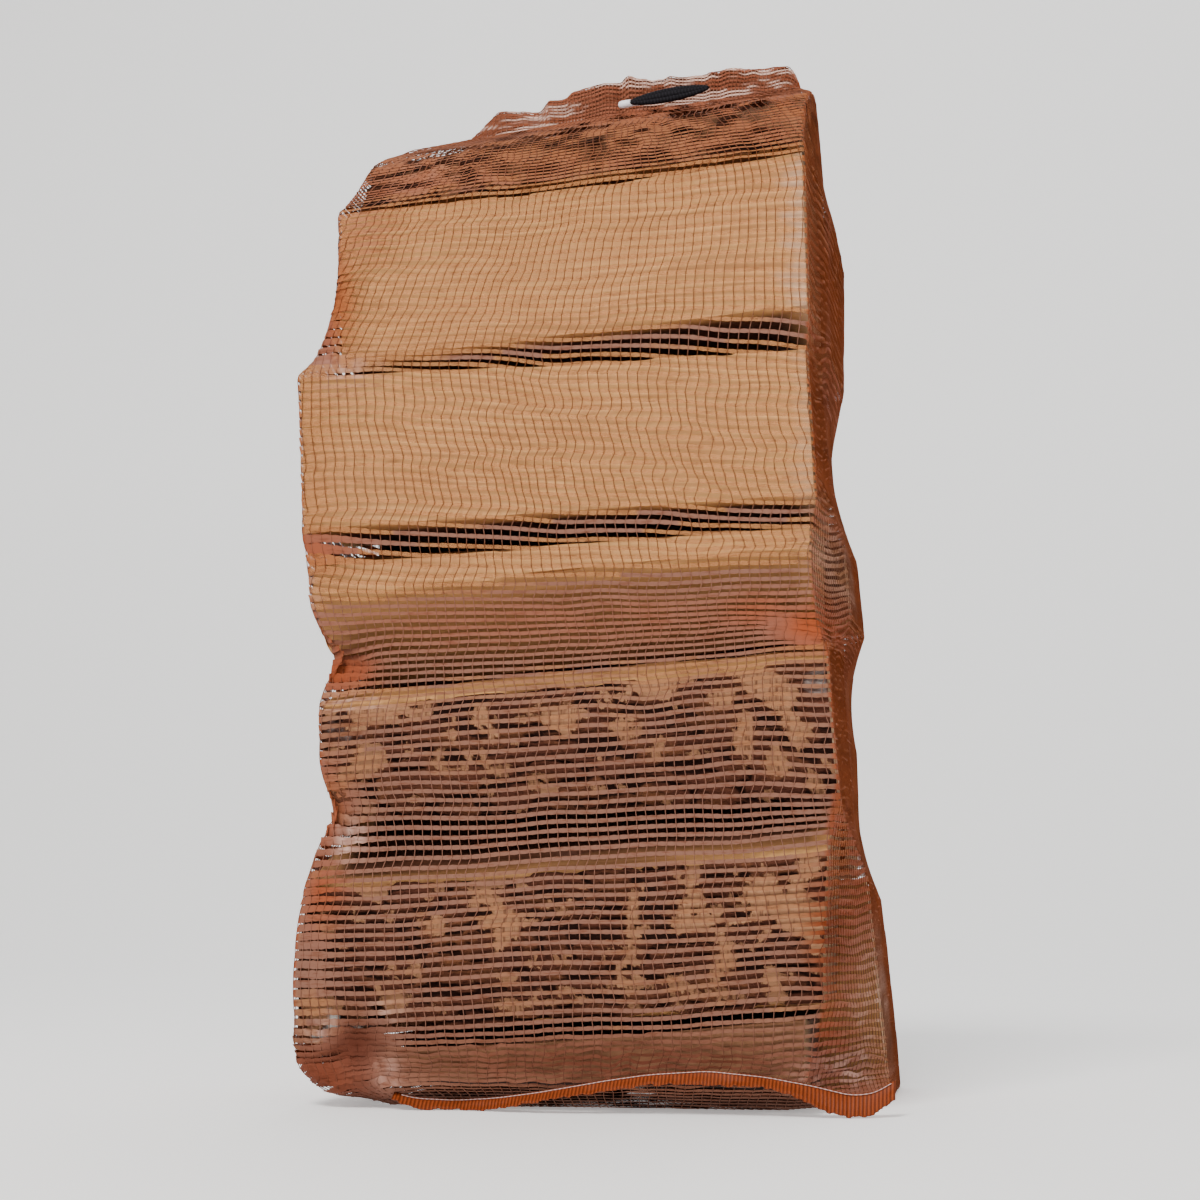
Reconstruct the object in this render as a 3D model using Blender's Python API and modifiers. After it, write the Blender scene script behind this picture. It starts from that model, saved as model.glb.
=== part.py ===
"""Net bag of split firewood that stands upright, with its logs lying across it.

Fourteen split logs lie in two columns of seven, one column behind the other, in a
knitted net bag. The bag stands on its flat bottom. Its mouth is gathered over the
top front log, and a sewn hem runs along the bottom of its front, with an ear at
each end. X runs along the logs, -Y is the front and Z is up. Units are metres.
"""

import math
from dataclasses import dataclass

import bmesh
import bpy
from mathutils import Vector
from mathutils.bvhtree import BVHTree

MM = 0.001

# Log surfaces: steps along a split side, along a bark side, and along the log.
SPLIT_STEPS = 3
BARK_STEPS = 8
LENGTH_STEPS = 5
WANDER = 1.6 * MM        # how far a split surface dips between the two sawn ends
END_SKEW = 0.035         # the saw cuts lean a little off square
CLOUD_STEP = 5.0 * MM    # spacing of the points that the net is fitted on

# Net bag: the clearance that it keeps to the wood, and its drawn thickness.
NET_GAP = 1.0 * MM
NET_WALL = 1.8 * MM
NET_SIDES = 24
BAND_MARGIN = 1.5 * MM
FOOT_SKIN = 3.0 * MM

# Levels of the net, bottom to top, as (height at x = 0, rise per length along x).
LEVELS = (
    (0, 0.00), (10, 0.00), (42, 0.05), (85, 0.05), (123, 0.07), (144, 0.04), (185, 0.07),
    (212, 0.08), (236, 0.075), (260, 0.068), (277, 0.05), (290, 0.04), (330, 0.03),
    (367, 0.015), (382, 0.07), (420, 0.075), (458, 0.08), (482, 0.085), (498, 0.09),
)
RIDGE = (513, 0.092)

# Gathered mouth: puckered rings of net above the ridge, as oval half widths, height.
MOUTH_CENTRE = (22 * MM, -14 * MM)
MOUTH_PUCKERS = 6
MOUTH_RINGS = (
    ((80, 14), 1.0), ((86, 18), 6.5), ((82, 14), 12.0), ((72, 8), 11.0), ((68, 6), -1.0),
)
PUCKER_WIDTH = 3.0 * MM
PUCKER_RISE = 2.6 * MM

# Hem: a band under the seam line, from its left end to its right end.
HEM_X = (-82 * MM, 160 * MM)
HEM_STEPS = 22
HEM_THICKNESS = 3.2 * MM
HEM_LEAN = 5.0 * MM                 # how far the lower edge stands forward
HEM_FLOOR = 1.2 * MM
HEM_SEAM = (21.0 * MM, 7.5 * MM)    # seam height in the middle and at the ears
HEM_EAR_RISE = 12.0 * MM            # the right end of the seam is pulled up
HEM_MIDDLE_RISE = 11.0 * MM
HEM_RIPPLE = 1.2 * MM
HEM_RIPPLES = 21.0                  # radians of ripple along the hem
HEM_CORNER_X = 112 * MM             # past it the right ear hangs free of the bag
HEM_EAR_TURN = 0.25

# Drawcord: a narrow loop that lies on the front of the gathered mouth.
CORD_RADIUS = 1.7 * MM
CORD_LOOP = (15 * MM, 2.4 * MM)
CORD_CENTRE = (53 * MM, -41 * MM)
CORD_POINTS = 26
CORD_GAP = 0.5 * MM
CRIMP_LENGTH = 15 * MM
CRIMP_RADIUS = 2.3 * MM
CRIMP_STEPS = 3

# Brings the middle of the finished bag to the origin, in plan.
SHIFT = Vector((-11.7 * MM, 2.8 * MM, 0.0))


@dataclass(frozen=True)
class Log:
    """One split log: its sawn ends and the corners of its section at each end.

    Corners are (y, z) in millimetres, anticlockwise with y to the right and z up.
    bark gives each side that is a bark arc, as side index: bulge over chord.
    """

    name: str
    ends: tuple
    left: tuple
    right: tuple
    bark: dict
    skew: float = 1.0


LOGS = (
    Log("log_front_1", (-105, 122),
        ((-94, 453), (-12, 452), (-20, 499)),
        ((-97, 472), (-10, 470), (-22, 521)), {2: 0.15}, 0.6),
    Log("log_front_2", (-113, 124),
        ((-100, 371), (-22, 371), (-18, 445), (-100, 449)),
        ((-100, 389), (-20, 388), (-18, 464), (-100, 468)), {1: 0.12}, -0.6),
    Log("log_front_3", (-132, 125),
        ((-100, 284), (-18, 289), (-24, 368), (-100, 366)),
        ((-100, 293), (-20, 297), (-28, 385), (-100, 369)), {1: 0.14}, -1.5),
    Log("log_front_4", (-126, 124),
        ((-100, 252), (-45, 208), (-12, 214), (-12, 286), (-97, 271)),
        ((-100, 269), (-45, 229), (-12, 235), (-14, 294), (-97, 281)), {}, 0.5),
    Log("log_front_5", (-119, 133),
        ((-86, 138), (-12, 149), (-13, 203), (-86, 205), (-98, 196)),
        ((-86, 146), (-12, 159), (-13, 224), (-86, 225), (-98, 216)), {4: 0.10}, -1.6),
    Log("log_front_6", (-130, 129),
        ((-88, 32), (-12, 38), (-12, 145), (-72, 117), (-88, 108)),
        ((-90, 51), (-12, 52), (-12, 156), (-76, 135), (-90, 124)), {4: 0.13}, 1.2),
    Log("log_front_7", (-84, 118),
        ((-94, 13), (-12, 5), (-12, 34), (-94, 28)),
        ((-92, 15), (-12, 5), (-12, 47), (-92, 45)), {}, 0.4),
    Log("log_back_1", (-98, 119),
        ((0, 455), (82, 452), (4, 501)),
        ((0, 473), (84, 466), (4, 520)), {1: 0.20}, -0.8),
    Log("log_back_2", (-106, 127),
        ((2, 379), (95, 376), (92, 446), (2, 449)),
        ((2, 392), (94, 390), (90, 460), (2, 467)), {3: 0.10}, 0.7),
    Log("log_back_3", (-118, 118),
        ((0, 305), (76, 303), (74, 372), (2, 371)),
        ((0, 298), (76, 297), (72, 385), (0, 386)), {1: 0.26}, -0.6),
    Log("log_back_4", (-120, 134),
        ((0, 238), (90, 240), (96, 298), (4, 299)),
        ((-4, 246), (90, 248), (94, 292), (0, 290)), {3: 0.06}, -2.5),
    Log("log_back_5", (-112, 126),
        ((0, 178), (76, 176), (72, 233), (0, 233)),
        ((0, 189), (76, 186), (72, 245), (0, 244)), {1: 0.28}, 0.8),
    Log("log_back_6", (-124, 131),
        ((0, 113), (92, 108), (90, 171), (0, 174)),
        ((0, 119), (90, 112), (90, 181), (0, 184)), {3: 0.08}, -0.5),
    Log("log_back_7", (-98, 147),
        ((0, 4), (84, 4), (84, 95), (2, 106)),
        ((-4, 4), (82, 4), (84, 100), (-2, 112)), {1: 0.10}, -2.6),
)

# Colour, roughness and alpha of each material.
FINISHES = {
    "split_wood": ((0.52, 0.32, 0.17), 0.75, 1.0),
    "orange_net": ((0.45, 0.12, 0.04), 0.55, 0.45),
    "black_cord": ((0.012, 0.011, 0.012), 0.7, 1.0),
    "white_crimp": ((0.75, 0.74, 0.76), 0.35, 1.0),
}


def clear_scene():
    """Remove every object of the open scene."""
    for item in list(bpy.data.objects):
        bpy.data.objects.remove(item, do_unlink=True)


def make_collection(name):
    """Return a new collection that is linked to the scene."""
    group = bpy.data.collections.new(name)
    bpy.context.scene.collection.children.link(group)
    return group


def make_material(name):
    """Return a Principled material from its entry in FINISHES."""
    colour, roughness, alpha = FINISHES[name]
    material = bpy.data.materials.new(name)
    material.use_nodes = True
    shader = material.node_tree.nodes["Principled BSDF"]
    shader.inputs["Base Color"].default_value = (*colour, 1.0)
    shader.inputs["Roughness"].default_value = roughness
    shader.inputs["Alpha"].default_value = alpha
    return material


def object_from_bmesh(name, shape, group, material=None):
    """Make an object of a finished bmesh, in a collection."""
    mesh = bpy.data.meshes.new(name)
    shape.to_mesh(mesh)
    shape.free()
    if material:
        mesh.materials.append(material)
    item = bpy.data.objects.new(name, mesh)
    group.objects.link(item)
    return item


def section_outline(corners, bark):
    """Return the (y, z) points round a section, with its bark sides bulged out."""
    outline = []
    count = len(corners)
    for side in range(count):
        start = Vector(corners[side]) * MM
        end = Vector(corners[(side + 1) % count]) * MM
        chord = end - start
        outward = Vector((chord.y, -chord.x))
        bulge = bark.get(side, 0.0)
        steps = BARK_STEPS if side in bark else SPLIT_STEPS
        for step in range(steps):
            share = step / steps
            rise = 4.0 * bulge * share * (1.0 - share)
            outline.append(start + chord * share + outward * rise)
    return outline


def log_rings(log, steps, wander):
    """Return the rings of 3-D points along a log, from its left to its right end."""
    left = section_outline(log.left, log.bark)
    right = section_outline(log.right, log.bark)
    rings = []
    for station in range(steps + 1):
        share = station / steps
        flat = [a.lerp(b, share) for a, b in zip(left, right)]
        middle = sum(flat, Vector((0.0, 0.0))) / len(flat)
        along = log.ends[0] + (log.ends[1] - log.ends[0]) * share
        ring = []
        for index, point in enumerate(flat):
            wave = 0.5 + 0.5 * math.sin(0.9 * index + 5.0 * share + len(left))
            dip = wander * wave * math.sin(math.pi * share)
            spot = point + (middle - point).normalized() * dip
            lean = END_SKEW * log.skew * (spot.y - middle.y)
            ring.append(Vector((along * MM + lean, spot.x, spot.y)) + SHIFT)
        rings.append(ring)
    return rings


def loft(shape, rings):
    """Join rings of points by faces in a bmesh, and close the first and the last."""
    loops = [[shape.verts.new(point) for point in ring] for ring in rings]
    size = len(loops[0])
    for near, far in zip(loops, loops[1:]):
        for index in range(size):
            after = (index + 1) % size
            shape.faces.new((near[index], near[after], far[after], far[index]))
    shape.faces.new(loops[0])
    shape.faces.new(loops[-1])
    bmesh.ops.recalc_face_normals(shape, faces=shape.faces)


def build_log(log, group, material):
    """Loft a log through its rings, with its two sawn ends closed."""
    shape = bmesh.new()
    loft(shape, log_rings(log, LENGTH_STEPS, WANDER))
    return object_from_bmesh(log.name, shape, group, material)


def as_cutter(item):
    """Hide a cutter or guide from the render and draw it as wire."""
    item.hide_render = True
    item.display_type = "WIRE"
    return item


def add_boolean(item, other, operation):
    """Add one exact Boolean modifier to an object."""
    modifier = item.modifiers.new(operation.lower() + "_" + other.name, "BOOLEAN")
    modifier.operation = operation
    modifier.object = other
    modifier.solver = "EXACT"


def wood_cloud():
    """Return points all over the logs, close enough together to fit the net on."""
    cloud = []
    for log in LOGS:
        rings = log_rings(log, LENGTH_STEPS * 3, 0.0)
        for ring in rings:
            for start, end in zip(ring, ring[1:] + ring[:1]):
                pieces = max(1, math.ceil((end - start).length / CLOUD_STEP))
                cloud += [start.lerp(end, piece / pieces) for piece in range(pieces)]
    return cloud


def around(points, growth, height, slope):
    """Return the net's ring round some points: a polygon of their support lines."""
    turn = 2.0 * math.pi / NET_SIDES
    reach = []
    for side in range(NET_SIDES):
        normal = Vector((math.cos(turn * side), math.sin(turn * side)))
        reach.append((normal, max(normal.dot(point.xy) for point in points) + growth))
    ring = []
    for side in range(NET_SIDES):
        normal, near = reach[side]
        far = reach[(side + 1) % NET_SIDES][1]
        along = Vector((-normal.y, normal.x))
        spot = normal * near + along * (far - near * math.cos(turn)) / math.sin(turn)
        ring.append(Vector((spot.x, spot.y, height + slope * (spot.x - SHIFT.x))))
    return ring


def net_rings(growth):
    """Return the net's rings round the wood, from the foot to the ridge."""
    cloud = wood_cloud()
    levels = [(height * MM, slope) for height, slope in LEVELS + (RIDGE,)]
    rings = []
    for index, (height, slope) in enumerate(levels):
        below = levels[max(index - 1, 0)]
        above = levels[min(index + 1, len(levels) - 1)]
        near = []
        for point in cloud:
            x = point.x - SHIFT.x
            low = below[0] + below[1] * x - BAND_MARGIN
            high = above[0] + above[1] * x + BAND_MARGIN
            if low <= point.z <= high:
                near.append(point)
        rings.append(around(near, growth, height, slope))
    return rings


def mouth_rings():
    """Return the puckered rings of the gathered mouth, from the ridge into the bag."""
    turn = 2.0 * math.pi / NET_SIDES
    rings = []
    for (half_x, half_y), rise in MOUTH_RINGS:
        ring = []
        for side in range(NET_SIDES):
            angle = turn * (side + 0.5)
            wave = math.sin(MOUTH_PUCKERS * angle) * min(1.0, rise / 6.0)
            x = MOUTH_CENTRE[0] + (half_x * MM + PUCKER_WIDTH * wave) * math.cos(angle)
            y = MOUTH_CENTRE[1] + (half_y * MM + PUCKER_WIDTH * wave) * math.sin(angle)
            z = RIDGE[0] * MM + RIDGE[1] * x + rise * MM + PUCKER_RISE * wave + NET_WALL
            ring.append(Vector((x, y, z)) + SHIFT)
        rings.append(ring)
    return rings


def surface_of(item):
    """Return a search tree of an object's evaluated surface."""
    return BVHTree.FromObject(item, bpy.context.evaluated_depsgraph_get())


def tube(name, points, radius, group, material, closed):
    """Make a tube along points, with a bevelled poly curve."""
    curve = bpy.data.curves.new(name, "CURVE")
    curve.dimensions = "3D"
    curve.bevel_depth = radius
    curve.bevel_resolution = 2
    curve.use_fill_caps = not closed
    curve.materials.append(material)
    spline = curve.splines.new("POLY")
    spline.points.add(len(points) - 1)
    for index, point in enumerate(points):
        spline.points[index].co = (*point, 1.0)
    spline.use_cyclic_u = closed
    item = bpy.data.objects.new(name, curve)
    group.objects.link(item)
    return item


def height_on(surface, x, y):
    """Return the height of a surface at a place, seen from above."""
    hit = surface.ray_cast(Vector((x, y, 1.0)), Vector((0.0, 0.0, -1.0)))
    return hit[0].z


def front_on(surface, x, z):
    """Return the y of a surface's front at a place, seen along +Y."""
    hit = surface.ray_cast(Vector((x, -1.0, z)), Vector((0.0, 1.0, 0.0)))
    return hit[0].y


def hem_lines(share):
    """Return the heights of the hem's seam line and of its lower edge.

    Both ends of the hem hang down to the floor as ears. Its middle is drawn up.
    """
    ends = 0.5 + 0.5 * math.cos(2.0 * math.pi * (share - 0.08) / 0.84)
    seam = HEM_SEAM[0] - (HEM_SEAM[0] - HEM_SEAM[1]) * ends + HEM_EAR_RISE * share ** 6
    lower = HEM_FLOOR + HEM_MIDDLE_RISE * (1.0 - ends)
    return seam, lower


def hem_band(surface, group):
    """Make the hem: an open strip on the front of the net, given a thickness."""
    shape = bmesh.new()
    rows = []
    corner = HEM_CORNER_X + SHIFT.x
    for step in range(HEM_STEPS + 1):
        share = step / HEM_STEPS
        x = HEM_X[0] + (HEM_X[1] - HEM_X[0]) * share + SHIFT.x
        seam, lower = hem_lines(share)
        front = front_on(surface, min(x, corner), seam) + HEM_EAR_TURN * max(0.0, x - corner)
        ripple = HEM_RIPPLE * math.sin(HEM_RIPPLES * share)
        top = Vector((x, front - 0.35 * HEM_THICKNESS, seam))
        middle = Vector((x, front - 0.7 * HEM_LEAN + ripple, (seam + lower) / 2))
        bottom = Vector((x, front - HEM_LEAN - ripple, lower))
        rows.append([shape.verts.new(spot) for spot in (top, middle, bottom)])
    for near, far in zip(rows, rows[1:]):
        for index in range(2):
            shape.faces.new((near[index], near[index + 1], far[index + 1], far[index]))
    bmesh.ops.recalc_face_normals(shape, faces=shape.faces)
    item = object_from_bmesh("hem_band", shape, group)
    solid = item.modifiers.new("thickness", "SOLIDIFY")
    solid.thickness = HEM_THICKNESS
    solid.offset = 0.0
    return as_cutter(item)


def build_bag(group, cutters, material):
    """Make the net bag: one skin that runs up the outside and down the inside."""
    outside = net_rings(NET_GAP + NET_WALL)
    inside = net_rings(NET_GAP)
    outside[-1] = [point + Vector((0.0, 0.0, NET_WALL)) for point in outside[-1]]
    inside[0] = [point + Vector((0.0, 0.0, FOOT_SKIN)) for point in inside[0]]
    rings = outside + mouth_rings() + inside[::-1]
    shape = bmesh.new()
    loft(shape, rings)
    bag = object_from_bmesh("net_bag", shape, group, material)
    bpy.context.view_layer.update()
    hem = hem_band(surface_of(bag), cutters)
    add_boolean(bag, hem, "UNION")
    return bag


def laid_on(surface, spots, radius):
    """Return the points of a tube that rests on a surface, over (x, y) spots."""
    points = []
    for x, y in spots:
        reach = [height_on(surface, x + across, y + along)
                 for across in (-radius, 0.0, radius)
                 for along in (-radius, 0.0, radius)]
        points.append(Vector((x, y, max(reach) + radius + CORD_GAP)))
    return points


def build_cord(bag, group, cord_material, crimp_material):
    """Make the drawcord's loop, and the crimp at its left end, on the gathered mouth."""
    bpy.context.view_layer.update()
    surface = surface_of(bag)
    middle = (CORD_CENTRE[0] + SHIFT.x, CORD_CENTRE[1] + SHIFT.y)
    spots = []
    for index in range(CORD_POINTS):
        angle = 2.0 * math.pi * index / CORD_POINTS
        spots.append((middle[0] + CORD_LOOP[0] * math.cos(angle),
                      middle[1] + CORD_LOOP[1] * math.sin(angle)))
    tube("drawcord", laid_on(surface, spots, CORD_RADIUS), CORD_RADIUS, group,
         cord_material, True)
    start = middle[0] - CORD_LOOP[0] - CORD_RADIUS - CORD_GAP
    spots = [(start - CRIMP_LENGTH * step / CRIMP_STEPS, middle[1])
             for step in range(CRIMP_STEPS + 1)]
    tube("cord_crimp", laid_on(surface, spots, CRIMP_RADIUS), CRIMP_RADIUS, group,
         crimp_material, False)


def main():
    """Build the bag of firewood."""
    clear_scene()
    group = make_collection("firewood_net_bag")
    cutters = make_collection("cutters")
    wood = make_material("split_wood")
    for log in LOGS:
        build_log(log, group, wood)
    bag = build_bag(group, cutters, make_material("orange_net"))
    build_cord(bag, group, make_material("black_cord"), make_material("white_crimp"))


main()
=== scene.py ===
"""Looks of a knitted net bag of split firewood: its logs, its net, its hem and its cord.

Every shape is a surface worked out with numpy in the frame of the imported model. X runs
along the logs, -Y is the front of the bag and Z is up. Lengths are metres.
"""
import logging
import math
from dataclasses import dataclass, field
from enum import Enum

import bpy
import numpy as np
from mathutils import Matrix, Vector


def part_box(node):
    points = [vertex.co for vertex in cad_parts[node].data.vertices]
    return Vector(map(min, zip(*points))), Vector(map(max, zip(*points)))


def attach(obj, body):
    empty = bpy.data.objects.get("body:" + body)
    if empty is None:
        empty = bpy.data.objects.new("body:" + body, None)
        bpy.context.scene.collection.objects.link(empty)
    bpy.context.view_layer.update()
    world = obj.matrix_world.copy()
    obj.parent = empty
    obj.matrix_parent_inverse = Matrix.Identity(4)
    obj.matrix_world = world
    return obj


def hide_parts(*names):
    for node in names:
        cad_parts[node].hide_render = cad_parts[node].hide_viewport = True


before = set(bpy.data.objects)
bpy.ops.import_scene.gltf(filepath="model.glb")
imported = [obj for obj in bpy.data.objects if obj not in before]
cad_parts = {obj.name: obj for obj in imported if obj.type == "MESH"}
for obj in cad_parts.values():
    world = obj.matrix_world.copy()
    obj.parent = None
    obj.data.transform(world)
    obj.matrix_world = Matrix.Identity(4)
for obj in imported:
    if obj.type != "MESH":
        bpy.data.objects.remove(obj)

LOG = logging.getLogger("firewood")
MM = 0.001
SHIFT = np.array([-11.7, 2.8, 0.0]) * MM
PHOTO_PIXELS = 1200
SENSOR_MM = 36.0
# Painted shade: wood deep in the gaps between logs is multiplied towards this colour.
GAP_SHADE = (0.12, 0.045, 0.025)
FAR = 9.0
FRONT_Y = -0.04
STRAND_PITCH = 1.9 * MM


class Face(Enum):
    """What a face of a log shows, as its material's index."""

    SPLIT = 0
    BARK = 1
    END = 2


@dataclass(frozen=True)
class Noise:
    """Smooth random values on a plane, from a seeded lattice.

    Formula: each whole-numbered place gets a value from an integer hash, and a place
    between them blends its four neighbours with the weight t * t * (3 - 2 * t).
    """

    seed: int

    def lattice(self, col: np.ndarray, row: np.ndarray) -> np.ndarray:
        """Return the hashed value, 0 to 1, of whole-numbered places.

        Args:
            col: First whole number.
            row: Second whole number.

        Returns:
            The value of each place.
        """
        mixed = (col.astype(np.int64) * 374761393 + row.astype(np.int64) * 668265263
                 + self.seed * 974634777) & 0xFFFFFFFF
        mixed = ((mixed ^ (mixed >> 13)) * 1274126177) & 0xFFFFFFFF
        return ((mixed ^ (mixed >> 16)) & 0xFFFF) / 65535.0

    def at(self, x: np.ndarray, y: np.ndarray) -> np.ndarray:
        """Return the noise, 0 to 1, at places given in lattice steps.

        Args:
            x: First coordinate.
            y: Second coordinate.

        Returns:
            The noise at each place.
        """
        x, y = np.broadcast_arrays(x, y)
        col, row = np.floor(x), np.floor(y)
        tx, ty = x - col, y - row
        tx, ty = tx * tx * (3 - 2 * tx), ty * ty * (3 - 2 * ty)
        low = self.lattice(col, row) * (1 - tx) + self.lattice(col + 1, row) * tx
        high = self.lattice(col, row + 1) * (1 - tx) + self.lattice(col + 1, row + 1) * tx
        return low * (1 - ty) + high * ty

    def layers(self, x: np.ndarray, y: np.ndarray, count: int = 3) -> np.ndarray:
        """Return noise summed over octaves, each half as strong and twice as fine.

        Args:
            x: First coordinate, in lattice steps.
            y: Second coordinate.
            count: Number of octaves.

        Returns:
            The noise, 0 to 1.
        """
        total = sum(self.at(x * 2 ** i + 7.3 * i, y * 2 ** i - 3.1 * i) * 0.5 ** i
                    for i in range(count))
        return total / (2 - 0.5 ** (count - 1))


def smooth(low: float, high: float, value: np.ndarray) -> np.ndarray:
    """Return 0 at low and 1 at high, with a smooth step between them."""
    t = np.clip((value - low) / (high - low), 0.0, 1.0)
    return t * t * (3 - 2 * t)


def unit(vectors: np.ndarray) -> np.ndarray:
    """Return vectors scaled to length one, along the last axis."""
    return vectors / np.maximum(np.linalg.norm(vectors, axis=-1, keepdims=True), 1e-12)


def lengths(points: np.ndarray) -> np.ndarray:
    """Return the length along a line of points up to each of them, from 0."""
    steps = np.linalg.norm(np.diff(points, axis=0), axis=1)
    return np.concatenate([[0.0], np.cumsum(steps)])


def even_loop(loop: np.ndarray, count: int) -> np.ndarray:
    """Return evenly spaced points along a loop.

    Args:
        loop: The loop's points, whose last one repeats the first.
        count: Number of points that are wanted.

    Returns:
        The points, the first of which is the loop's first.
    """
    way = lengths(loop)
    at = np.arange(count) / count * way[-1]
    return np.stack([np.interp(at, way, column) for column in loop.T], axis=1)


def from_table(table: tuple, places: np.ndarray) -> np.ndarray:
    """Return a table's values at places, on straight lines between its rows."""
    rows = np.array(table, float)
    return np.interp(places, rows[:, 0], rows[:, 1])


def circle(count: int) -> np.ndarray:
    """Return evenly spaced angles of a whole turn."""
    return 2 * math.pi * np.arange(count) / count


def face_middle(item: bpy.types.Object, place: Vector, target: tuple) -> None:
    """Put a lamp or a camera at a place and turn it towards a target."""
    item.location = place
    aim = Vector(target) - Vector(place)
    item.rotation_euler = aim.to_track_quat("-Z", "Y").to_euler()


def grid_quads(rows: int, cols: int, start: int = 0, close: bool = True) -> np.ndarray:
    """Return the quads of a grid of points, whose columns may close on themselves.

    Args:
        rows: Number of rows of points.
        cols: Number of points in a row.
        start: Index of the grid's first point.
        close: Whether the last column joins the first.

    Returns:
        An array of four point indices a face.
    """
    row = np.arange(rows - 1)[:, None]
    col = np.arange(cols if close else cols - 1)[None, :]
    after = (col + 1) % cols
    corners = [row * cols + col, row * cols + after,
               (row + 1) * cols + after, (row + 1) * cols + col]
    return np.stack(corners, axis=-1).reshape(-1, 4) + start


def make_mesh(name: str, points: np.ndarray, quads: np.ndarray,
              tris: np.ndarray | None = None) -> bpy.types.Object:
    """Put arrays of points and faces into a new object at the origin.

    Args:
        name: The piece's name.
        points: Its points, three numbers each.
        quads: Four point indices a face.
        tris: Three point indices a face, or None.

    Returns:
        The new object, shaded smooth, with its faces in the order quads, tris.
    """
    tris = np.zeros((0, 3), int) if tris is None else tris
    loops = np.concatenate([quads.reshape(-1), tris.reshape(-1)]).astype(np.int32)
    sizes = np.concatenate([np.full(len(quads), 4), np.full(len(tris), 3)])
    starts = np.concatenate([[0], np.cumsum(sizes)[:-1]]).astype(np.int32)
    mesh = bpy.data.meshes.new(name)
    mesh.vertices.add(len(points))
    mesh.vertices.foreach_set("co", np.ascontiguousarray(points, np.float32).reshape(-1))
    mesh.loops.add(len(loops))
    mesh.loops.foreach_set("vertex_index", loops)
    mesh.polygons.add(len(sizes))
    mesh.polygons.foreach_set("loop_start", starts)
    mesh.polygons.foreach_set("use_smooth", np.ones(len(sizes), bool))
    mesh.update(calc_edges=True)
    mesh.validate()
    piece = bpy.data.objects.new(name, mesh)
    bpy.context.scene.collection.objects.link(piece)
    return piece


def paint(piece: bpy.types.Object, name: str, values: np.ndarray) -> None:
    """Store one number or one vector a point, as a named attribute of a piece.

    Args:
        piece: The piece.
        name: The attribute's name.
        values: Its values, in points' order.
    """
    kind = "FLOAT_VECTOR" if values.ndim == 2 else "FLOAT"
    layer = piece.data.attributes.new(name, kind, "POINT")
    key = "vector" if values.ndim == 2 else "value"
    layer.data.foreach_set(key, np.ascontiguousarray(values, np.float32).reshape(-1))


def finish_piece(piece: bpy.types.Object, materials: list,
                 replaced: tuple = ()) -> bpy.types.Object:
    """Dress a piece, put it on the body and hide the nodes that it stands for.

    Args:
        piece: The finished object.
        materials: Its materials, in the order of its faces' indices.
        replaced: Names of the nodes that it stands for.

    Returns:
        The same object.
    """
    for material in materials:
        piece.data.materials.append(material)
    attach(piece, "root")
    if replaced:
        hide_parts(*replaced)
    LOG.info("%s: %d points", piece.name, len(piece.data.vertices))
    return piece


class Wire:
    """One socket of a material, on which Python's operators add Math nodes."""

    def __init__(self, board: "Board", socket: bpy.types.NodeSocket) -> None:
        """Wrap a socket of a board.

        Args:
            board: The board that holds the socket's node.
            socket: The output socket.
        """
        self.board = board
        self.socket = socket

    def math(self, operation: str, *others: "Wire | float", clamp: bool = False) -> "Wire":
        """Return the result of a Math node on this wire and others.

        Args:
            operation: The node's operation.
            others: Its further inputs.
            clamp: Whether the result stays within 0 to 1.

        Returns:
            The result.
        """
        settings = {"operation": operation, "use_clamp": clamp}
        return self.board.add("ShaderNodeMath", settings, {0: self, **dict(
            enumerate(others, 1))})

    def __add__(self, other: "Wire | float") -> "Wire":
        """Return the sum."""
        return self.math("ADD", other)

    def __sub__(self, other: "Wire | float") -> "Wire":
        """Return the difference."""
        return self.math("SUBTRACT", other)

    def __mul__(self, other: "Wire | float") -> "Wire":
        """Return the product."""
        return self.math("MULTIPLY", other)

    def __truediv__(self, other: "Wire | float") -> "Wire":
        """Return the quotient."""
        return self.math("DIVIDE", other)

    def __rsub__(self, other: float) -> "Wire":
        """Return a number minus this wire."""
        return self.board.add("ShaderNodeMath", {"operation": "SUBTRACT"}, {0: other, 1: self})

    __radd__ = __add__
    __rmul__ = __mul__

    def ramp(self, low: float, high: float) -> "Wire":
        """Return 0 below low and 1 above high, with a smooth step between them."""
        return self.board.add("ShaderNodeMapRange", {"interpolation_type": "SMOOTHSTEP"},
                              {"Value": self, "From Min": low, "From Max": high})


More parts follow.
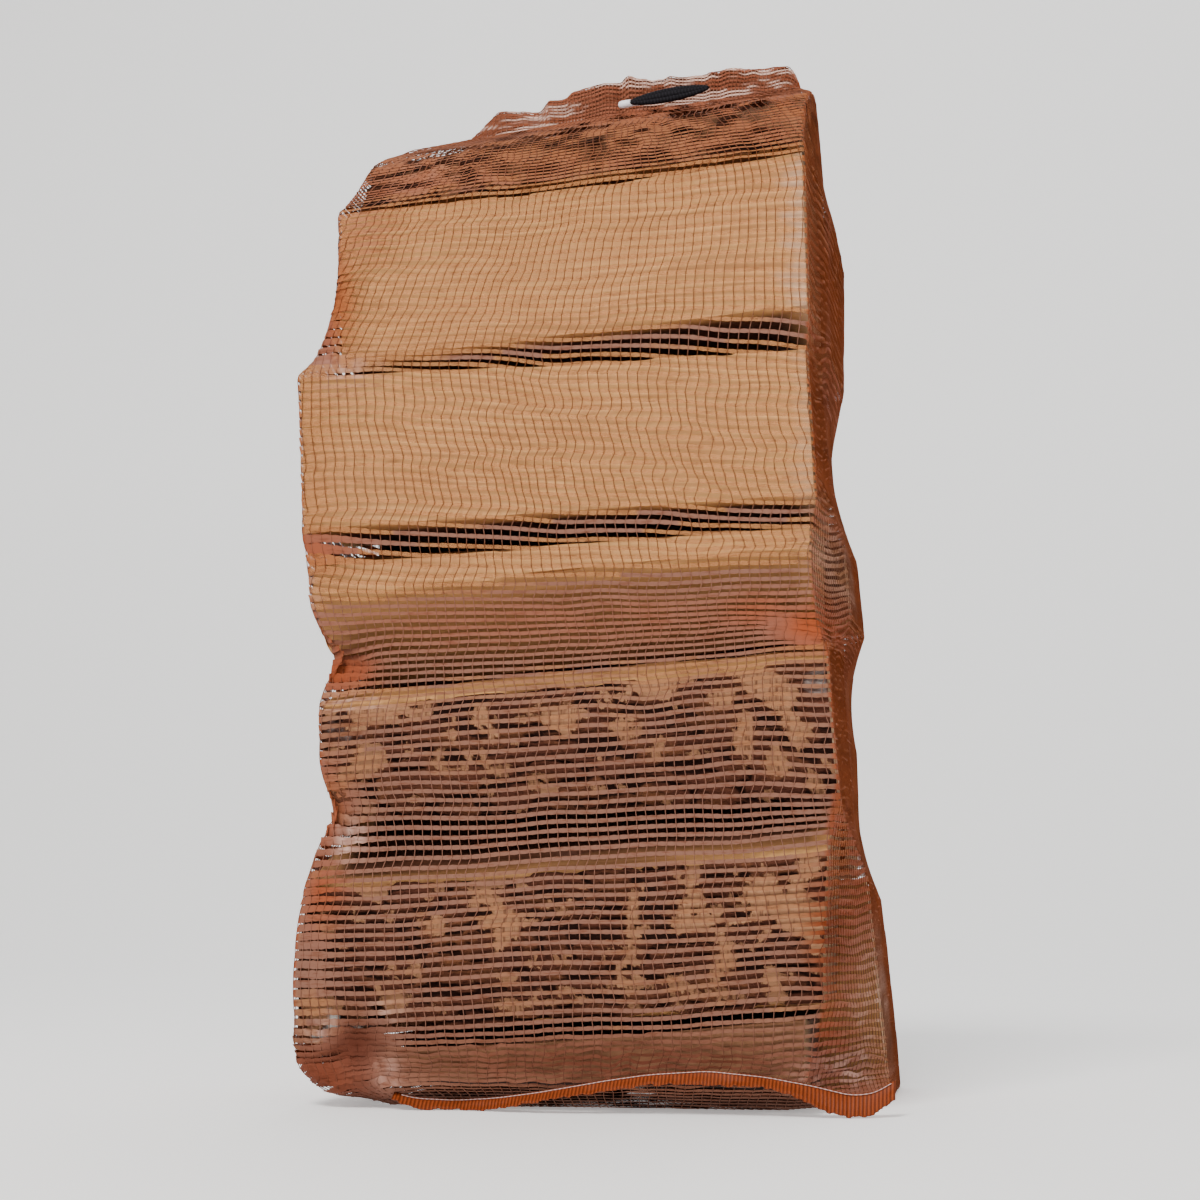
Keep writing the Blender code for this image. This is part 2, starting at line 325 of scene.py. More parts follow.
class Board:
    """The node tree of one material, with short ways to add and join nodes."""

    def __init__(self, name: str) -> None:
        """Make a material that holds only its Principled shader and its output.

        Args:
            name: The material's name.
        """
        self.material = bpy.data.materials.new(name)
        self.material.use_nodes = True
        self.tree = self.material.node_tree
        self.shader = self.tree.nodes["Principled BSDF"]

    def add(self, kind: str, settings: dict, sockets: dict, out: int | str = 0) -> Wire:
        """Add a node, first its settings and then its sockets.

        Args:
            kind: The node's type name.
            settings: Attributes of the node, set before its sockets.
            sockets: Wires or values by socket name or index.
            out: The output that is returned.

        Returns:
            The wire of that output.
        """
        node = self.tree.nodes.new(kind)
        for key, value in settings.items():
            setattr(node, key, value)
        self.join(node, sockets)
        return Wire(self, node.outputs[out])

    def join(self, node: bpy.types.Node, sockets: dict) -> None:
        """Set or link the sockets of a node.

        Args:
            node: The node.
            sockets: Wires or values by socket name or index.
        """
        for key, value in sockets.items():
            if isinstance(value, Wire):
                self.tree.links.new(value.socket, node.inputs[key])
            else:
                node.inputs[key].default_value = value

    def attribute(self, name: str, vector: bool = False) -> Wire:
        """Return a named attribute of the piece, as a number or a vector."""
        out = "Vector" if vector else "Fac"
        return self.add("ShaderNodeAttribute", {"attribute_name": name}, {}, out)

    def position(self) -> Wire:
        """Return the point's place in the piece's own frame."""
        return self.add("ShaderNodeTexCoord", {}, {}, "Object")

    def section(self, vector: Wire) -> tuple[Wire, Wire]:
        """Return a vector's parts across a log, Y and Z."""
        parts = self.tree.nodes.new("ShaderNodeSeparateXYZ")
        self.join(parts, {0: vector})
        return Wire(self, parts.outputs[1]), Wire(self, parts.outputs[2])

    def stretch(self, vector: Wire, scale: tuple) -> Wire:
        """Return a vector multiplied by one factor an axis."""
        return self.add("ShaderNodeVectorMath", {"operation": "MULTIPLY"},
                        {0: vector, 1: scale})

    def noise(self, vector: Wire, scale: float, detail: float = 3.0,
              rough: float = 0.55, warp: float = 0.0) -> Wire:
        """Return a noise texture's value at a vector."""
        return self.add("ShaderNodeTexNoise", {}, {
            "Vector": vector, "Scale": scale, "Detail": detail,
            "Roughness": rough, "Distortion": warp})

    def mix(self, share: Wire | float, first: "Wire | tuple", second: "Wire | tuple",
            blend: str = "MIX") -> Wire:
        """Return a blend of two colours.

        Args:
            share: How much of the second colour.
            first: The first colour.
            second: The second colour.
            blend: The kind of blend.

        Returns:
            The blended colour.
        """
        node = self.tree.nodes.new("ShaderNodeMix")
        node.data_type = "RGBA"
        node.blend_type = blend
        sockets = {0: share, 6: first, 7: second}
        self.join(node, {key: value if isinstance(value, Wire) or key == 0 else (*value, 1.0)
                         for key, value in sockets.items()})
        return Wire(self, node.outputs[2])

    def bump(self, height: Wire, depth: float, strength: float = 1.0) -> Wire:
        """Return the normal of a height of 0 to 1 that stands a given depth proud."""
        return self.add("ShaderNodeBump", {}, {
            "Strength": strength, "Distance": depth, "Height": height})

    def shade(self, **sockets: "Wire | float | tuple") -> bpy.types.Material:
        """Set the shader's sockets, named with _ for a space, and return the material."""
        self.join(self.shader, {key.replace("_", " "): value
                                for key, value in sockets.items()})
        return self.material


@dataclass(frozen=True)
class SplitWoodFinish:
    """Freshly split softwood: pale, with long fibres, growth rings and a few streaks."""

    tone: float
    darkening: float = 0.0
    pale: tuple = (0.62, 0.315, 0.105)
    warm: tuple = (0.47, 0.20, 0.072)
    dark: tuple = (0.24, 0.08, 0.022)
    tip: tuple = (0.66, 0.45, 0.31)
    darkened: tuple = (0.17, 0.065, 0.026)

    def material(self) -> bpy.types.Material:
        """Return the material of the split faces of a log."""
        board = Board("split_wood")
        grain = board.attribute("grain", vector=True)
        across, deep = board.section(grain)
        sway = board.noise(board.stretch(grain, (7, 30, 30)), 1.0, 2.0)
        radius = (across * across + deep * deep).math("SQRT") + sway * 0.006
        rings = (radius * 1900.0).math("SINE") * 0.5 + 0.5
        fibre = board.noise(board.stretch(grain, (26, 950, 950)), 1.0, 3.0, 0.62)
        streak = board.noise(board.stretch(grain, (9, 170, 170)), 1.0, 3.0, 0.6)
        cloud = board.noise(board.stretch(grain, (8, 16, 16)), 1.0, 2.0)
        marks = board.noise(board.stretch(grain, (34, 160, 160)), 1.0, 1.0).ramp(0.70, 0.80)
        colour = board.mix(rings * 0.34, self.pale, self.warm)
        colour = board.mix((streak.ramp(0.42, 0.80)) * 0.55, colour, self.warm)
        colour = board.mix(fibre.ramp(0.50, 0.85) * 0.40, colour, self.dark)
        colour = board.mix(cloud.ramp(0.45, 0.8) * 0.35, colour, self.warm)
        colour = board.mix(marks * 0.55, colour, self.dark)
        colour = board.mix(self.tone, colour, self.warm)
        colour = board.mix(board.attribute("tip") * 0.8, colour, self.tip)
        # log_front_7's split wood is blended far towards a dark brown here, and the tapes over
        # it lose their light.
        colour = board.mix(self.darkening, colour, self.darkened)
        # Painted shade: the inner attribute darkens wood deep in the gaps between logs.
        colour = board.mix(board.attribute("inner"), colour, GAP_SHADE, "MULTIPLY")
        height = fibre * 0.7 + streak * 0.6
        return board.shade(
            Base_Color=colour, Roughness=0.66 + fibre * 0.2,
            Normal=board.bump(height, 0.0006, 0.8))


@dataclass(frozen=True)
class BarkFinish:
    """Rough bark with dark fissures, grey crusts and patches of pale inner bark."""

    crust: tuple = (0.095, 0.030, 0.017)
    rust: tuple = (0.20, 0.075, 0.034)
    grey: tuple = (0.42, 0.36, 0.33)
    # fissure is the bark's own dark crevices and painted shade in them.
    fissure: tuple = (0.016, 0.004, 0.002)
    peeled: tuple = (0.40, 0.20, 0.105)
    white_fleck: tuple = (0.66, 0.62, 0.58)
    gloss: float = 0.12

    def material(self) -> bpy.types.Material:
        """Return the material of the bark of a log."""
        board = Board("bark")
        grain = board.attribute("grain", vector=True)
        flake = board.attribute("flake")
        depth = board.attribute("depth")
        coarse = board.noise(board.stretch(grain, (40, 70, 70)), 1.0, 4.0, 0.6)
        fine = board.noise(board.stretch(grain, (260, 520, 520)), 1.0, 4.0, 0.65)
        fibre = board.noise(board.stretch(grain, (40, 900, 900)), 1.0, 3.0, 0.6)
        colour = board.mix(coarse.ramp(0.45, 0.72), self.crust, self.rust)
        crusty = board.mix(coarse.ramp(0.35, 0.6), self.grey, self.crust)
        colour = board.mix(board.attribute("grey"), colour, crusty)
        colour = board.mix(fine.ramp(0.45, 0.75) * 0.7, colour, self.fissure)
        # The fissures' near-black is partly the bark's own dark crevices and partly painted
        # shade in them.
        colour = board.mix(depth.ramp(0.25, 0.85), colour, self.fissure)
        upright = board.noise(board.stretch(grain, (620, 50, 50)), 1.0, 3.0, 0.6)
        peeled = board.mix(fibre.ramp(0.4, 0.8) * 0.5, self.peeled, self.rust)
        peeled = board.mix(upright.ramp(0.5, 0.68) * 0.75, peeled, self.crust)
        torn = board.noise(board.stretch(grain, (520, 230, 230)), 1.0, 4.0, 0.65)
        flake = (flake + (torn - 0.5) * 2.0).ramp(0.40, 0.62)
        colour = board.mix(flake, colour, peeled)
        # A whitish crescent painted on the bark where the white spots lie.
        colour = board.mix(board.attribute("white"), colour, self.white_fleck)
        # Painted shade: the inner attribute darkens bark deep in the gaps between logs.
        colour = board.mix(board.attribute("inner"), colour, GAP_SHADE, "MULTIPLY")
        height = fine * (1.0 - flake * 0.7) + fibre * 0.4
        return board.shade(Base_Color=colour, Roughness=0.86, Specular_IOR_Level=self.gloss,
                           Normal=board.bump(height, 0.0012, 0.9))


@dataclass(frozen=True)
class EndGrainFinish:
    """A sawn end: growth rings, fine radial cracks and the saw's straight marks."""

    pale: tuple = (0.60, 0.36, 0.18)
    ring: tuple = (0.34, 0.165, 0.07)
    crack: tuple = (0.06, 0.025, 0.012)

    def material(self) -> bpy.types.Material:
        """Return the material of the sawn ends of a log."""
        board = Board("end_grain")
        grain = board.attribute("grain", vector=True)
        across, deep = board.section(grain)
        sway = board.noise(board.stretch(grain, (0, 40, 40)), 1.0, 2.0)
        radius = (across * across + deep * deep).math("SQRT") + sway * 0.003
        rings = ((radius * 1900.0).math("SINE") * 0.5 + 0.5).math("POWER", 2.0)
        angle = deep.math("ARCTAN2", across)
        turning = board.add("ShaderNodeCombineXYZ", {}, {0: angle * 14.0, 1: radius * 30.0})
        cracks = board.noise(turning, 1.0, 2.0).ramp(0.66, 0.72)
        saw = board.noise(board.stretch(grain, (0, 90, 900)), 1.0, 2.0)
        pores = board.noise(board.stretch(grain, (0, 1500, 1500)), 1.0, 2.0)
        colour = board.mix(rings * 0.65, self.pale, self.ring)
        colour = board.mix(saw.ramp(0.4, 0.8) * 0.35, colour, self.ring)
        colour = board.mix(cracks * 0.8, colour, self.crack)
        # Painted shade: the inner attribute darkens sawn ends that lie deep in the bag.
        colour = board.mix(board.attribute("inner"), colour, GAP_SHADE, "MULTIPLY")
        return board.shade(Base_Color=colour, Roughness=0.8,
                           Normal=board.bump(saw * 0.7 + pores * 0.4, 0.0006, 0.8))


@dataclass(frozen=True)
class NetFinish:
    """Thin orange plastic tape, which takes on the colour of what lies right behind it."""

    name: str
    over_dark: tuple = (0.205, 0.096, 0.066)
    over_light: tuple = (0.50, 0.215, 0.080)
    stacked: tuple = (0.30, 0.054, 0.012)
    # fold is the whitish colour of bunched tape, partly painted glints and sheen.
    fold: tuple = (0.66, 0.42, 0.34)
    deep: tuple = (0.13, 0.035, 0.014)
    shadow: tuple = (0.30, 0.15, 0.10)
    clear: float = 0.55
    roughness: float = 0.72
    gloss: float = 0.07

    def material(self) -> bpy.types.Material:
        """Return the material of the net's tapes or threads."""
        board = Board(self.name)
        fleck = board.noise(board.stretch(board.position(), (130, 130, 800)), 1.0, 2.0, 0.6)
        light = board.attribute("light")
        stack = board.attribute("stack")
        pale = board.attribute("pale")
        colour = board.mix(light, self.over_dark, self.over_light)
        colour = board.mix(stack, colour, self.stacked)
        colour = board.mix(pale, colour, self.fold)
        colour = board.mix(fleck.ramp(0.50, 0.70) * 0.5, colour, self.deep)
        # Painted shade: the dim share multiplies the tape towards the shadow colour.
        colour = board.mix(board.attribute("painted_shade"), colour, self.shadow, "MULTIPLY")
        thin = light * (1.0 - stack * 0.75) * (1.0 - pale)
        return board.shade(Base_Color=colour, Roughness=self.roughness,
                           Specular_IOR_Level=self.gloss, Alpha=1.0 - thin * self.clear)


@dataclass(frozen=True)
class ClothFinish:
    """A small woven or moulded thing: two colours in fine bands along its own length."""

    name: str
    light: tuple
    dark: tuple
    bands: float
    roughness: float
    gloss: float = 0.12

    def material(self) -> bpy.types.Material:
        """Return the material, banded by the piece's own band attribute."""
        board = Board(self.name)
        band = board.attribute("band")
        stripe = (band * self.bands).math("SINE") * 0.5 + 0.5
        fleck = board.noise(board.position(), 1400.0, 2.0)
        colour = board.mix(stripe * 0.7 + fleck * 0.3, self.dark, self.light)
        return board.shade(Base_Color=colour, Roughness=self.roughness,
                           Specular_IOR_Level=self.gloss,
                           Normal=board.bump(stripe * 0.8 + fleck * 0.4, 0.0003, 0.8))


class Mark(Enum):
    """What a spot of bark shows."""

    PEELED = "peeled"
    GREY = "grey"
    # Painted shadow: spots of gap shade that darken the wood and the tapes over it.
    GAP_SHADOW = "dark"
    WHITE = "white"
    SHADED = "shaded"


@dataclass(frozen=True)
class Spot:
    """A soft oval on the front, by its middle and half widths in millimetres."""

    x: float
    z: float
    wide: float
    tall: float
    mark: Mark = Mark.PEELED

    def share(self, x: np.ndarray, z: np.ndarray) -> np.ndarray:
        """Return 1 in the middle of the spot, falling to 0 outside as a bell curve."""
        across = (x - SHIFT[0] - self.x * MM) / (self.wide * MM)
        along = (z - self.z * MM) / (self.tall * MM)
        return np.exp(-across ** 2 - along ** 2)


@dataclass(frozen=True)
class LogForm:
    """One split log, by the corners of its section at its two sawn ends.

    Corners are (y, z) in millimetres, anticlockwise with y to the right and z up.
    bark gives each side that is a bark arc, as side index: bulge over chord.
    """

    name: str
    ends: tuple
    left: tuple
    right: tuple
    bark: dict
    skew: float
    tone: float = 0.15
    peel: float = 0.62
    spots: tuple = ()
    tip: float = 0.0
    # How far the split wood is blended towards a dark brown.
    darkening: float = 0.0
    bare: float = 999.0
    # shade is the strength of the painted shade in the gaps.
    shade: float = 0.95

    END_SKEW = 0.035
    SIDE_STEP = 2.6 * MM
    LENGTH_STEP = 2.4 * MM

    def side_steps(self) -> list[int]:
        """Return how many steps each side of the section gets, for both ends."""
        steps = []
        for corners in (self.left, self.right):
            loop = np.array(corners + corners[:1], float) * MM
            steps.append(np.linalg.norm(np.diff(loop, axis=0), axis=1))
        widest = np.maximum(*steps)
        extra = [1.0 + 3.0 * self.bark.get(side, 0.0) for side in range(len(self.left))]
        return [max(4, int(round(w * e / self.SIDE_STEP))) for w, e in zip(widest, extra)]

    def outline(self, corners: tuple) -> tuple[np.ndarray, np.ndarray]:
        """Return the points round a section and their outward directions.

        Formula: a side is its chord, plus, on a bark side, the outward direction times
        4 * bulge * t * (1 - t) of the chord's length.

        Args:
            corners: The section's corners, as (y, z) in millimetres.

        Returns:
            Points in metres, and unit directions.
        """
        points, normals = [], []
        for side, steps in enumerate(self.side_steps()):
            start = np.array(corners[side], float) * MM
            chord = np.array(corners[(side + 1) % len(corners)], float) * MM - start
            out = np.array([chord[1], -chord[0]])
            bulge = self.bark.get(side, 0.0)
            t = np.arange(steps)[:, None] / steps
            points.append(start + chord * t + out * 4 * bulge * t * (1 - t))
            slope = chord + out * 4 * bulge * (1 - 2 * t)
            normals.append(np.stack([slope[:, 1], -slope[:, 0]], axis=1))
        outward = unit(np.concatenate(normals))
        soft = unit(outward + np.roll(outward, 1, axis=0))
        return np.concatenate(points), soft

    def side_of(self) -> np.ndarray:
        """Return the side that each point of an outline belongs to."""
        steps = self.side_steps()
        return np.repeat(np.arange(len(steps)), steps)

    def pith(self) -> np.ndarray:
        """Return the (y, z) place of the tree's centre, round which the rings run."""
        corners = (np.array(self.left, float) + np.array(self.right, float)) / 2 * MM
        if not self.bark:
            return corners.mean(axis=0) + np.array([0.05, -0.06])
        side = next(iter(self.bark))
        start, end = corners[side], corners[(side + 1) % len(corners)]
        chord = end - start
        length = np.linalg.norm(chord)
        sag = self.bark[side] * length
        radius = (length * length / 4 + sag * sag) / (2 * sag)
        inward = np.array([-chord[1], chord[0]]) / length
        return (start + end) / 2 + inward * (radius - sag)

    def rings(self, stations: int) -> tuple[np.ndarray, np.ndarray]:
        """Return the log's grid of points before any relief, and its directions.

        Args:
            stations: Number of steps from the left to the right end.

        Returns:
            Points of stations + 1 rings, and outward directions, as (ring, point, xyz).
        """
        left, left_out = self.outline(self.left)
        right, right_out = self.outline(self.right)
        t = np.linspace(0.0, 1.0, stations + 1)[:, None, None]
        flat = left * (1 - t) + right * t
        out = unit(left_out * (1 - t) + right_out * t)
        middle = flat.mean(axis=1, keepdims=True)
        along = (self.ends[0] + (self.ends[1] - self.ends[0]) * t[..., 0]) * MM
        lean = self.END_SKEW * self.skew * (flat[..., 1] - middle[..., 1])
        points = np.stack([along + lean, flat[..., 0], flat[..., 1]], axis=-1) + SHIFT
        return points, np.concatenate([np.zeros_like(out[..., :1]), out], axis=-1)


TOP_SPOTS = tuple(Spot(x, z, w, 16) for x, z, w in (
    (-60, 470, 6), (-25, 480, 4), (9, 480, 3), (24, 478, 7), (72, 492, 6), (90, 496, 4),
    (104, 498, 6))) + (Spot(0, 487, 220, 60, Mark.SHADED),)
MIDDLE_SPOTS = tuple(Spot(*values) for values in (
    (4, 188, 8, 6), (-40, 192, 8, 10), (33, 180, 4, 4), (53, 202, 9, 5),
    (80, 198, 8, 9), (92, 178, 5, 10), (110, 200, 10, 12), (73, 212, 30, 4),
    (106, 168, 6, 9), (48, 168, 3, 6), (-95, 192, 15, 6),
    (-104, 186, 16, 9, Mark.GREY), (-106, 199, 14, 5), (126, 205, 7, 9, Mark.GREY)))
# The two wide spots at height 122 are painted shadow in the gap between logs 5 and 6.
LOW_SPOTS = tuple(Spot(*values) for values in (
    (-60, 107, 8, 8), (-28, 94, 12, 12), (-61, 90, 4, 5), (-81, 50, 8, 4), (-23, 51, 4, 4),
    (37, 86, 5, 30), (107, 104, 12, 12), (121, 94, 5, 15), (104, 58, 6, 10), (84, 55, 8, 5),
    (64, 96, 7, 9), (80, 78, 4, 13), (60, 60, 6, 5), (-70, 122, 70, 11, Mark.GAP_SHADOW),
    (10, 122, 60, 9, Mark.GAP_SHADOW),
    (-116, 34, 11, 7, Mark.GREY), (-98, 36, 12, 5, Mark.GREY),
    (-114.5, 44, 3, 3, Mark.WHITE), (-113.5, 40.5, 3, 3.5, Mark.WHITE),
    (-115.5, 36.5, 3.5, 3, Mark.WHITE), (-119.5, 34, 4, 2.5, Mark.WHITE),
    (-124, 34.5, 3, 2, Mark.WHITE)))
FRONT = (
    LogForm("log_front_1", (-105, 122),
            ((-94, 453), (-12, 452), (-20, 499)),
            ((-97, 472), (-10, 470), (-22, 521)), {2: 0.15}, 0.6, 0.2, 0.66, TOP_SPOTS),
    LogForm("log_front_2", (-113, 124),
            ((-100, 371), (-22, 371), (-18, 445), (-100, 449)),
            ((-100, 389), (-20, 388), (-18, 464), (-100, 468)), {1: 0.12}, -0.6, 0.10,
            tip=0.7),
    LogForm("log_front_3", (-132, 125),
            ((-100, 284), (-18, 289), (-24, 368), (-100, 366)),
            ((-100, 293), (-20, 297), (-28, 385), (-100, 369)), {1: 0.14}, -1.5, 0.05,
            tip=0.4),
    LogForm("log_front_4", (-126, 124),
            ((-100, 252), (-45, 208), (-12, 214), (-12, 286), (-97, 271)),
            ((-100, 269), (-45, 229), (-12, 235), (-14, 294), (-97, 281)), {}, 0.5, 0.12,
            shade=0.45),
    LogForm("log_front_5", (-119, 133),
            ((-86, 138), (-12, 149), (-13, 203), (-86, 205), (-98, 196)),
            ((-86, 146), (-12, 159), (-13, 224), (-86, 225), (-98, 216)),
            {4: 0.10}, -1.6, 0.15, 0.70, MIDDLE_SPOTS),
    LogForm("log_front_6", (-130, 129),
            ((-88, 32), (-12, 38), (-12, 145), (-72, 117), (-88, 108)),
            ((-90, 51), (-12, 52), (-12, 156), (-76, 135), (-90, 124)),
            {4: 0.13}, 1.2, 0.2, 0.66, LOW_SPOTS),
    LogForm("log_front_7", (-84, 118),
            ((-94, 13), (-12, 5), (-12, 34), (-94, 28)),
            ((-92, 15), (-12, 5), (-12, 47), (-92, 45)), {}, 0.4, 0.45, darkening=0.92),
)
BACK = (
    LogForm("log_back_1", (-98, 119),
            ((0, 455), (82, 452), (4, 501)),
            ((0, 473), (84, 466), (4, 520)), {1: 0.20}, -0.8, 0.2, 0.35),
    LogForm("log_back_2", (-106, 127),
            ((2, 379), (95, 376), (92, 446), (2, 449)),
            ((2, 392), (94, 390), (90, 460), (2, 467)), {3: 0.10}, 0.7, 0.05),
    LogForm("log_back_3", (-118, 118),
            ((0, 305), (76, 303), (74, 372), (2, 371)),
            ((0, 298), (76, 297), (72, 385), (0, 386)), {1: 0.26}, -0.6, 0.2, 0.5),
    LogForm("log_back_4", (-120, 134),
            ((0, 238), (90, 240), (96, 298), (4, 299)),
            ((-4, 246), (90, 248), (94, 292), (0, 290)), {3: 0.06}, -2.5, 0.1, bare=100),
    LogForm("log_back_5", (-112, 126),
            ((0, 178), (76, 176), (72, 233), (0, 233)),
            ((0, 189), (76, 186), (72, 245), (0, 244)), {1: 0.28}, 0.8, 0.2, 0.45),
    LogForm("log_back_6", (-124, 131),
            ((0, 113), (92, 108), (90, 171), (0, 174)),
            ((0, 119), (90, 112), (90, 181), (0, 184)), {3: 0.08}, -0.5, 0.15),
    LogForm("log_back_7", (-98, 147),
            ((0, 4), (84, 4), (84, 95), (2, 106)),
            ((-4, 4), (82, 4), (84, 100), (-2, 112)), {1: 0.10}, -2.6, 0.25, 0.4, bare=108),
)


@dataclass
class LogPiece:
    """Builds and dresses one log: split faces, bark and two sawn ends."""

    form: LogForm
    seed: int
    fibre_depth: float = 0.55 * MM
    step_depth: float = 0.9 * MM
    bark_depth: float = 2.6 * MM
    wander: float = 1.3 * MM
    cap_rings: int = 9
    wear_rounds: int = 6
    net_gap: float = 0.8 * MM
    places: np.ndarray = field(default_factory=lambda: np.zeros((0, 3)))
    light: np.ndarray = field(default_factory=lambda: np.zeros(0))

    def relief(self, points: np.ndarray) -> tuple:
        """Return how far each point of the log's grid lies below its plain surface.

        Formula: a split face dips by long thin noise along the fibres, by a few sharp
        steps where a splinter tore off, and by a slow wave. Bark dips into fissures, the
        low creases of warped noise, and more where the outer bark is peeled off.

        Args:
            points: The grid of points, as (ring, point, xyz).

        Returns:
            Depth in metres, then fissure depth, peeled share and grey share, 0 to 1.
        """
        noise = Noise(self.seed)
        form = self.form
        rows, cols = points.shape[:2]
        step = np.linalg.norm(np.diff(points[0], axis=0, append=points[0][:1]), axis=1)
        round_way = np.broadcast_to(np.concatenate([[0.0], np.cumsum(step)[:-1]]),
                                    (rows, cols))
        x = points[..., 0]
        t = np.linspace(0.0, 1.0, rows)[:, None]
        sides = form.side_of()
        is_bark = np.isin(sides, list(form.bark))[None, :] * np.ones((rows, 1))
        edge = self.edge_share(sides)[None, :]

        fibre = noise.layers(x / 0.055, round_way / 0.0026, 3)
        tear = noise.layers(x / 0.11 + 9.0, round_way / 0.0105 + 3.7, 2)
        torn = smooth(0.56, 0.60, tear) + 0.7 * smooth(0.40, 0.43, tear)
        wave = 0.5 + 0.5 * np.sin(round_way / 0.017 + 5.0 * t + self.seed)
        split = (self.fibre_depth * fibre + self.step_depth * torn
                 + self.wander * wave * np.sin(math.pi * t))
        chip = smooth(0.55, 0.75, noise.layers(x / 0.018, round_way / 0.05 + 5.0, 3))
        split = split + (0.5 + 1.6 * chip) * MM * edge ** 2

        warp = 0.9 * noise.layers(x / 0.02 + 31.0, round_way / 0.013, 2)
        crease = np.abs(noise.layers(x / 0.026 + warp, round_way / 0.0072 + warp, 3) - 0.5)
        fissure = 1.0 - smooth(0.02, 0.13, crease)
        rough = noise.layers(x / 0.006, round_way / 0.0042 + 11.0, 3)
        ragged = noise.layers(x / 0.008 + 17.0, round_way / 0.007 + 2.0, 5)
        worn = noise.layers(x / 0.026 + 17.0, round_way / 0.030 + 2.0, 4)
        flake = np.maximum(smooth(form.peel, form.peel + 0.04, worn),
                           self.spotted(points, ragged, Mark.PEELED))
        bark = (self.bark_depth * fissure + 1.1 * MM * rough) * (1 - flake)
        bark = bark + (2.4 * MM + 0.7 * self.fibre_depth * fibre) * flake
        bark = bark + 1.2 * MM * edge ** 2
        depth = np.where(is_bark > 0.5, bark, split)
        grey = self.spotted(points, ragged, Mark.GREY, 0.55, 0.35, 0.42) * is_bark
        return depth, fissure * is_bark * (1 - flake), flake * is_bark, grey

    def spotted(self, points: np.ndarray, ragged: np.ndarray, mark: Mark,
                firm: float = 0.36, torn: float = 0.95, start: float = 0.59) -> np.ndarray:
        """Return the share, 0 to 1, that ragged spots of one kind cover.

        Formula: a smooth step of firm times the nearest spot's bell curve plus torn
        times the noise.

        Args:
            points: The log's grid of points.
            ragged: Noise that tears the spots' edges.
            mark: The kind of the spots.
            firm: How much a spot itself counts.
            torn: How much the noise counts.
            start: The sum at which a spot starts.

        Returns:
            The share at each point.
        """
        shares = [spot.share(points[..., 0], points[..., 2])
                  for spot in self.form.spots if spot.mark is mark]
        if not shares:
            return np.zeros(points.shape[:2])
        near = np.max(shares, axis=0) * (points[..., 1] < FRONT_Y)
        return smooth(start, start + 0.11, firm * near + torn * ragged)

    @staticmethod
    def edge_share(sides: np.ndarray) -> np.ndarray:
        """Return 1 at the corners of a section, falling to 0 two steps away."""
        corner = sides != np.roll(sides, 1)
        near = np.roll(corner, 1) | np.roll(corner, -1)
        return np.where(corner, 1.0, np.where(near, 0.4, 0.0))

    def cap(self, ring: np.ndarray, start: int, first: int, flip: bool) -> tuple:
        """Return the points, quads and tris that close one sawn end.

        Formula: rings of the outline drawn in to its middle, with the shares of a
        straight ramp, and a fan of triangles inside the last one.

        Args:
            ring: The outline of the end.
            start: Index of the outline's first point.
            first: Index of the first new point.
            flip: Whether the faces turn the other way.

        Returns:
            The new points, the quads and the tris.
        """
        cols = len(ring)
        middle = ring.mean(axis=0)
        shares = np.linspace(1.0, 0.0, self.cap_rings + 1)[1:-1, None, None]
        inner = middle + (ring - middle) * shares
        points = np.concatenate([inner.reshape(-1, 3), middle[None]])
        rows = self.cap_rings - 1
        index = np.concatenate([np.arange(start, start + cols),
                                np.arange(first, first + rows * cols)])
        quads = index[grid_quads(rows + 1, cols)]
        last = index[-cols:]
        hub = first + rows * cols
        tris = np.stack([last, np.roll(last, -1), np.full(cols, hub)], axis=1)
        if flip:
            quads, tris = quads[:, ::-1], tris[:, ::-1]
        return points, quads, tris

    def build(self, surface: "NetSurface") -> bpy.types.Object:
        """Return the log as one closed mesh that replaces its node.

        Args:
            surface: The net's surface, which tells how deep the wood lies in the bag.

        Returns:
            The dressed log.
        """
        form = self.form
        stations = int(round((form.ends[1] - form.ends[0]) * MM / form.LENGTH_STEP))
        base, out = form.rings(stations)
        depth, fissure, flake, grey = self.relief(base)
        white = [spot.share(base[..., 0], base[..., 2]) * (base[..., 1] < FRONT_Y)
                 for spot in form.spots if spot.mark is Mark.WHITE]
        white = smooth(0.4, 0.6, np.max([0.0 * grey] + white, axis=0))
        points = base - out * depth[..., None]
        rows, cols = points.shape[:2]
        grid = points.reshape(-1, 3)
        count = len(grid)
        body = grid_quads(rows, cols)
        near = self.cap(points[0], 0, count, True)
        far = self.cap(points[-1], count - cols, count + len(near[0]), False)
        everything = self.drawn(np.concatenate([grid, near[0], far[0]]), surface)
        quads = np.concatenate([body, near[1], far[1]])
        tris = np.concatenate([near[2], far[2]])
        piece = make_mesh(form.name + "_wood", everything, quads, tris)
        face_side = np.tile(form.side_of(), rows - 1)
        bark_face = np.isin(face_side, list(form.bark))
        kinds = np.full(len(quads) + len(tris), Face.END.value)
        kinds[:len(body)] = np.where(bark_face, Face.BARK.value, Face.SPLIT.value)
        pith = form.pith() + SHIFT[1:]
        grain = everything - np.array([0.0, *pith])
        grain[:, 0] += 0.7 * self.seed
        blank = np.zeros(len(everything) - count)
        paint(piece, "grain", grain)
        for name, values in (("depth", fissure), ("flake", flake), ("grey", grey),
                             ("white", white)):
            paint(piece, name, np.concatenate([values.reshape(-1), blank]))
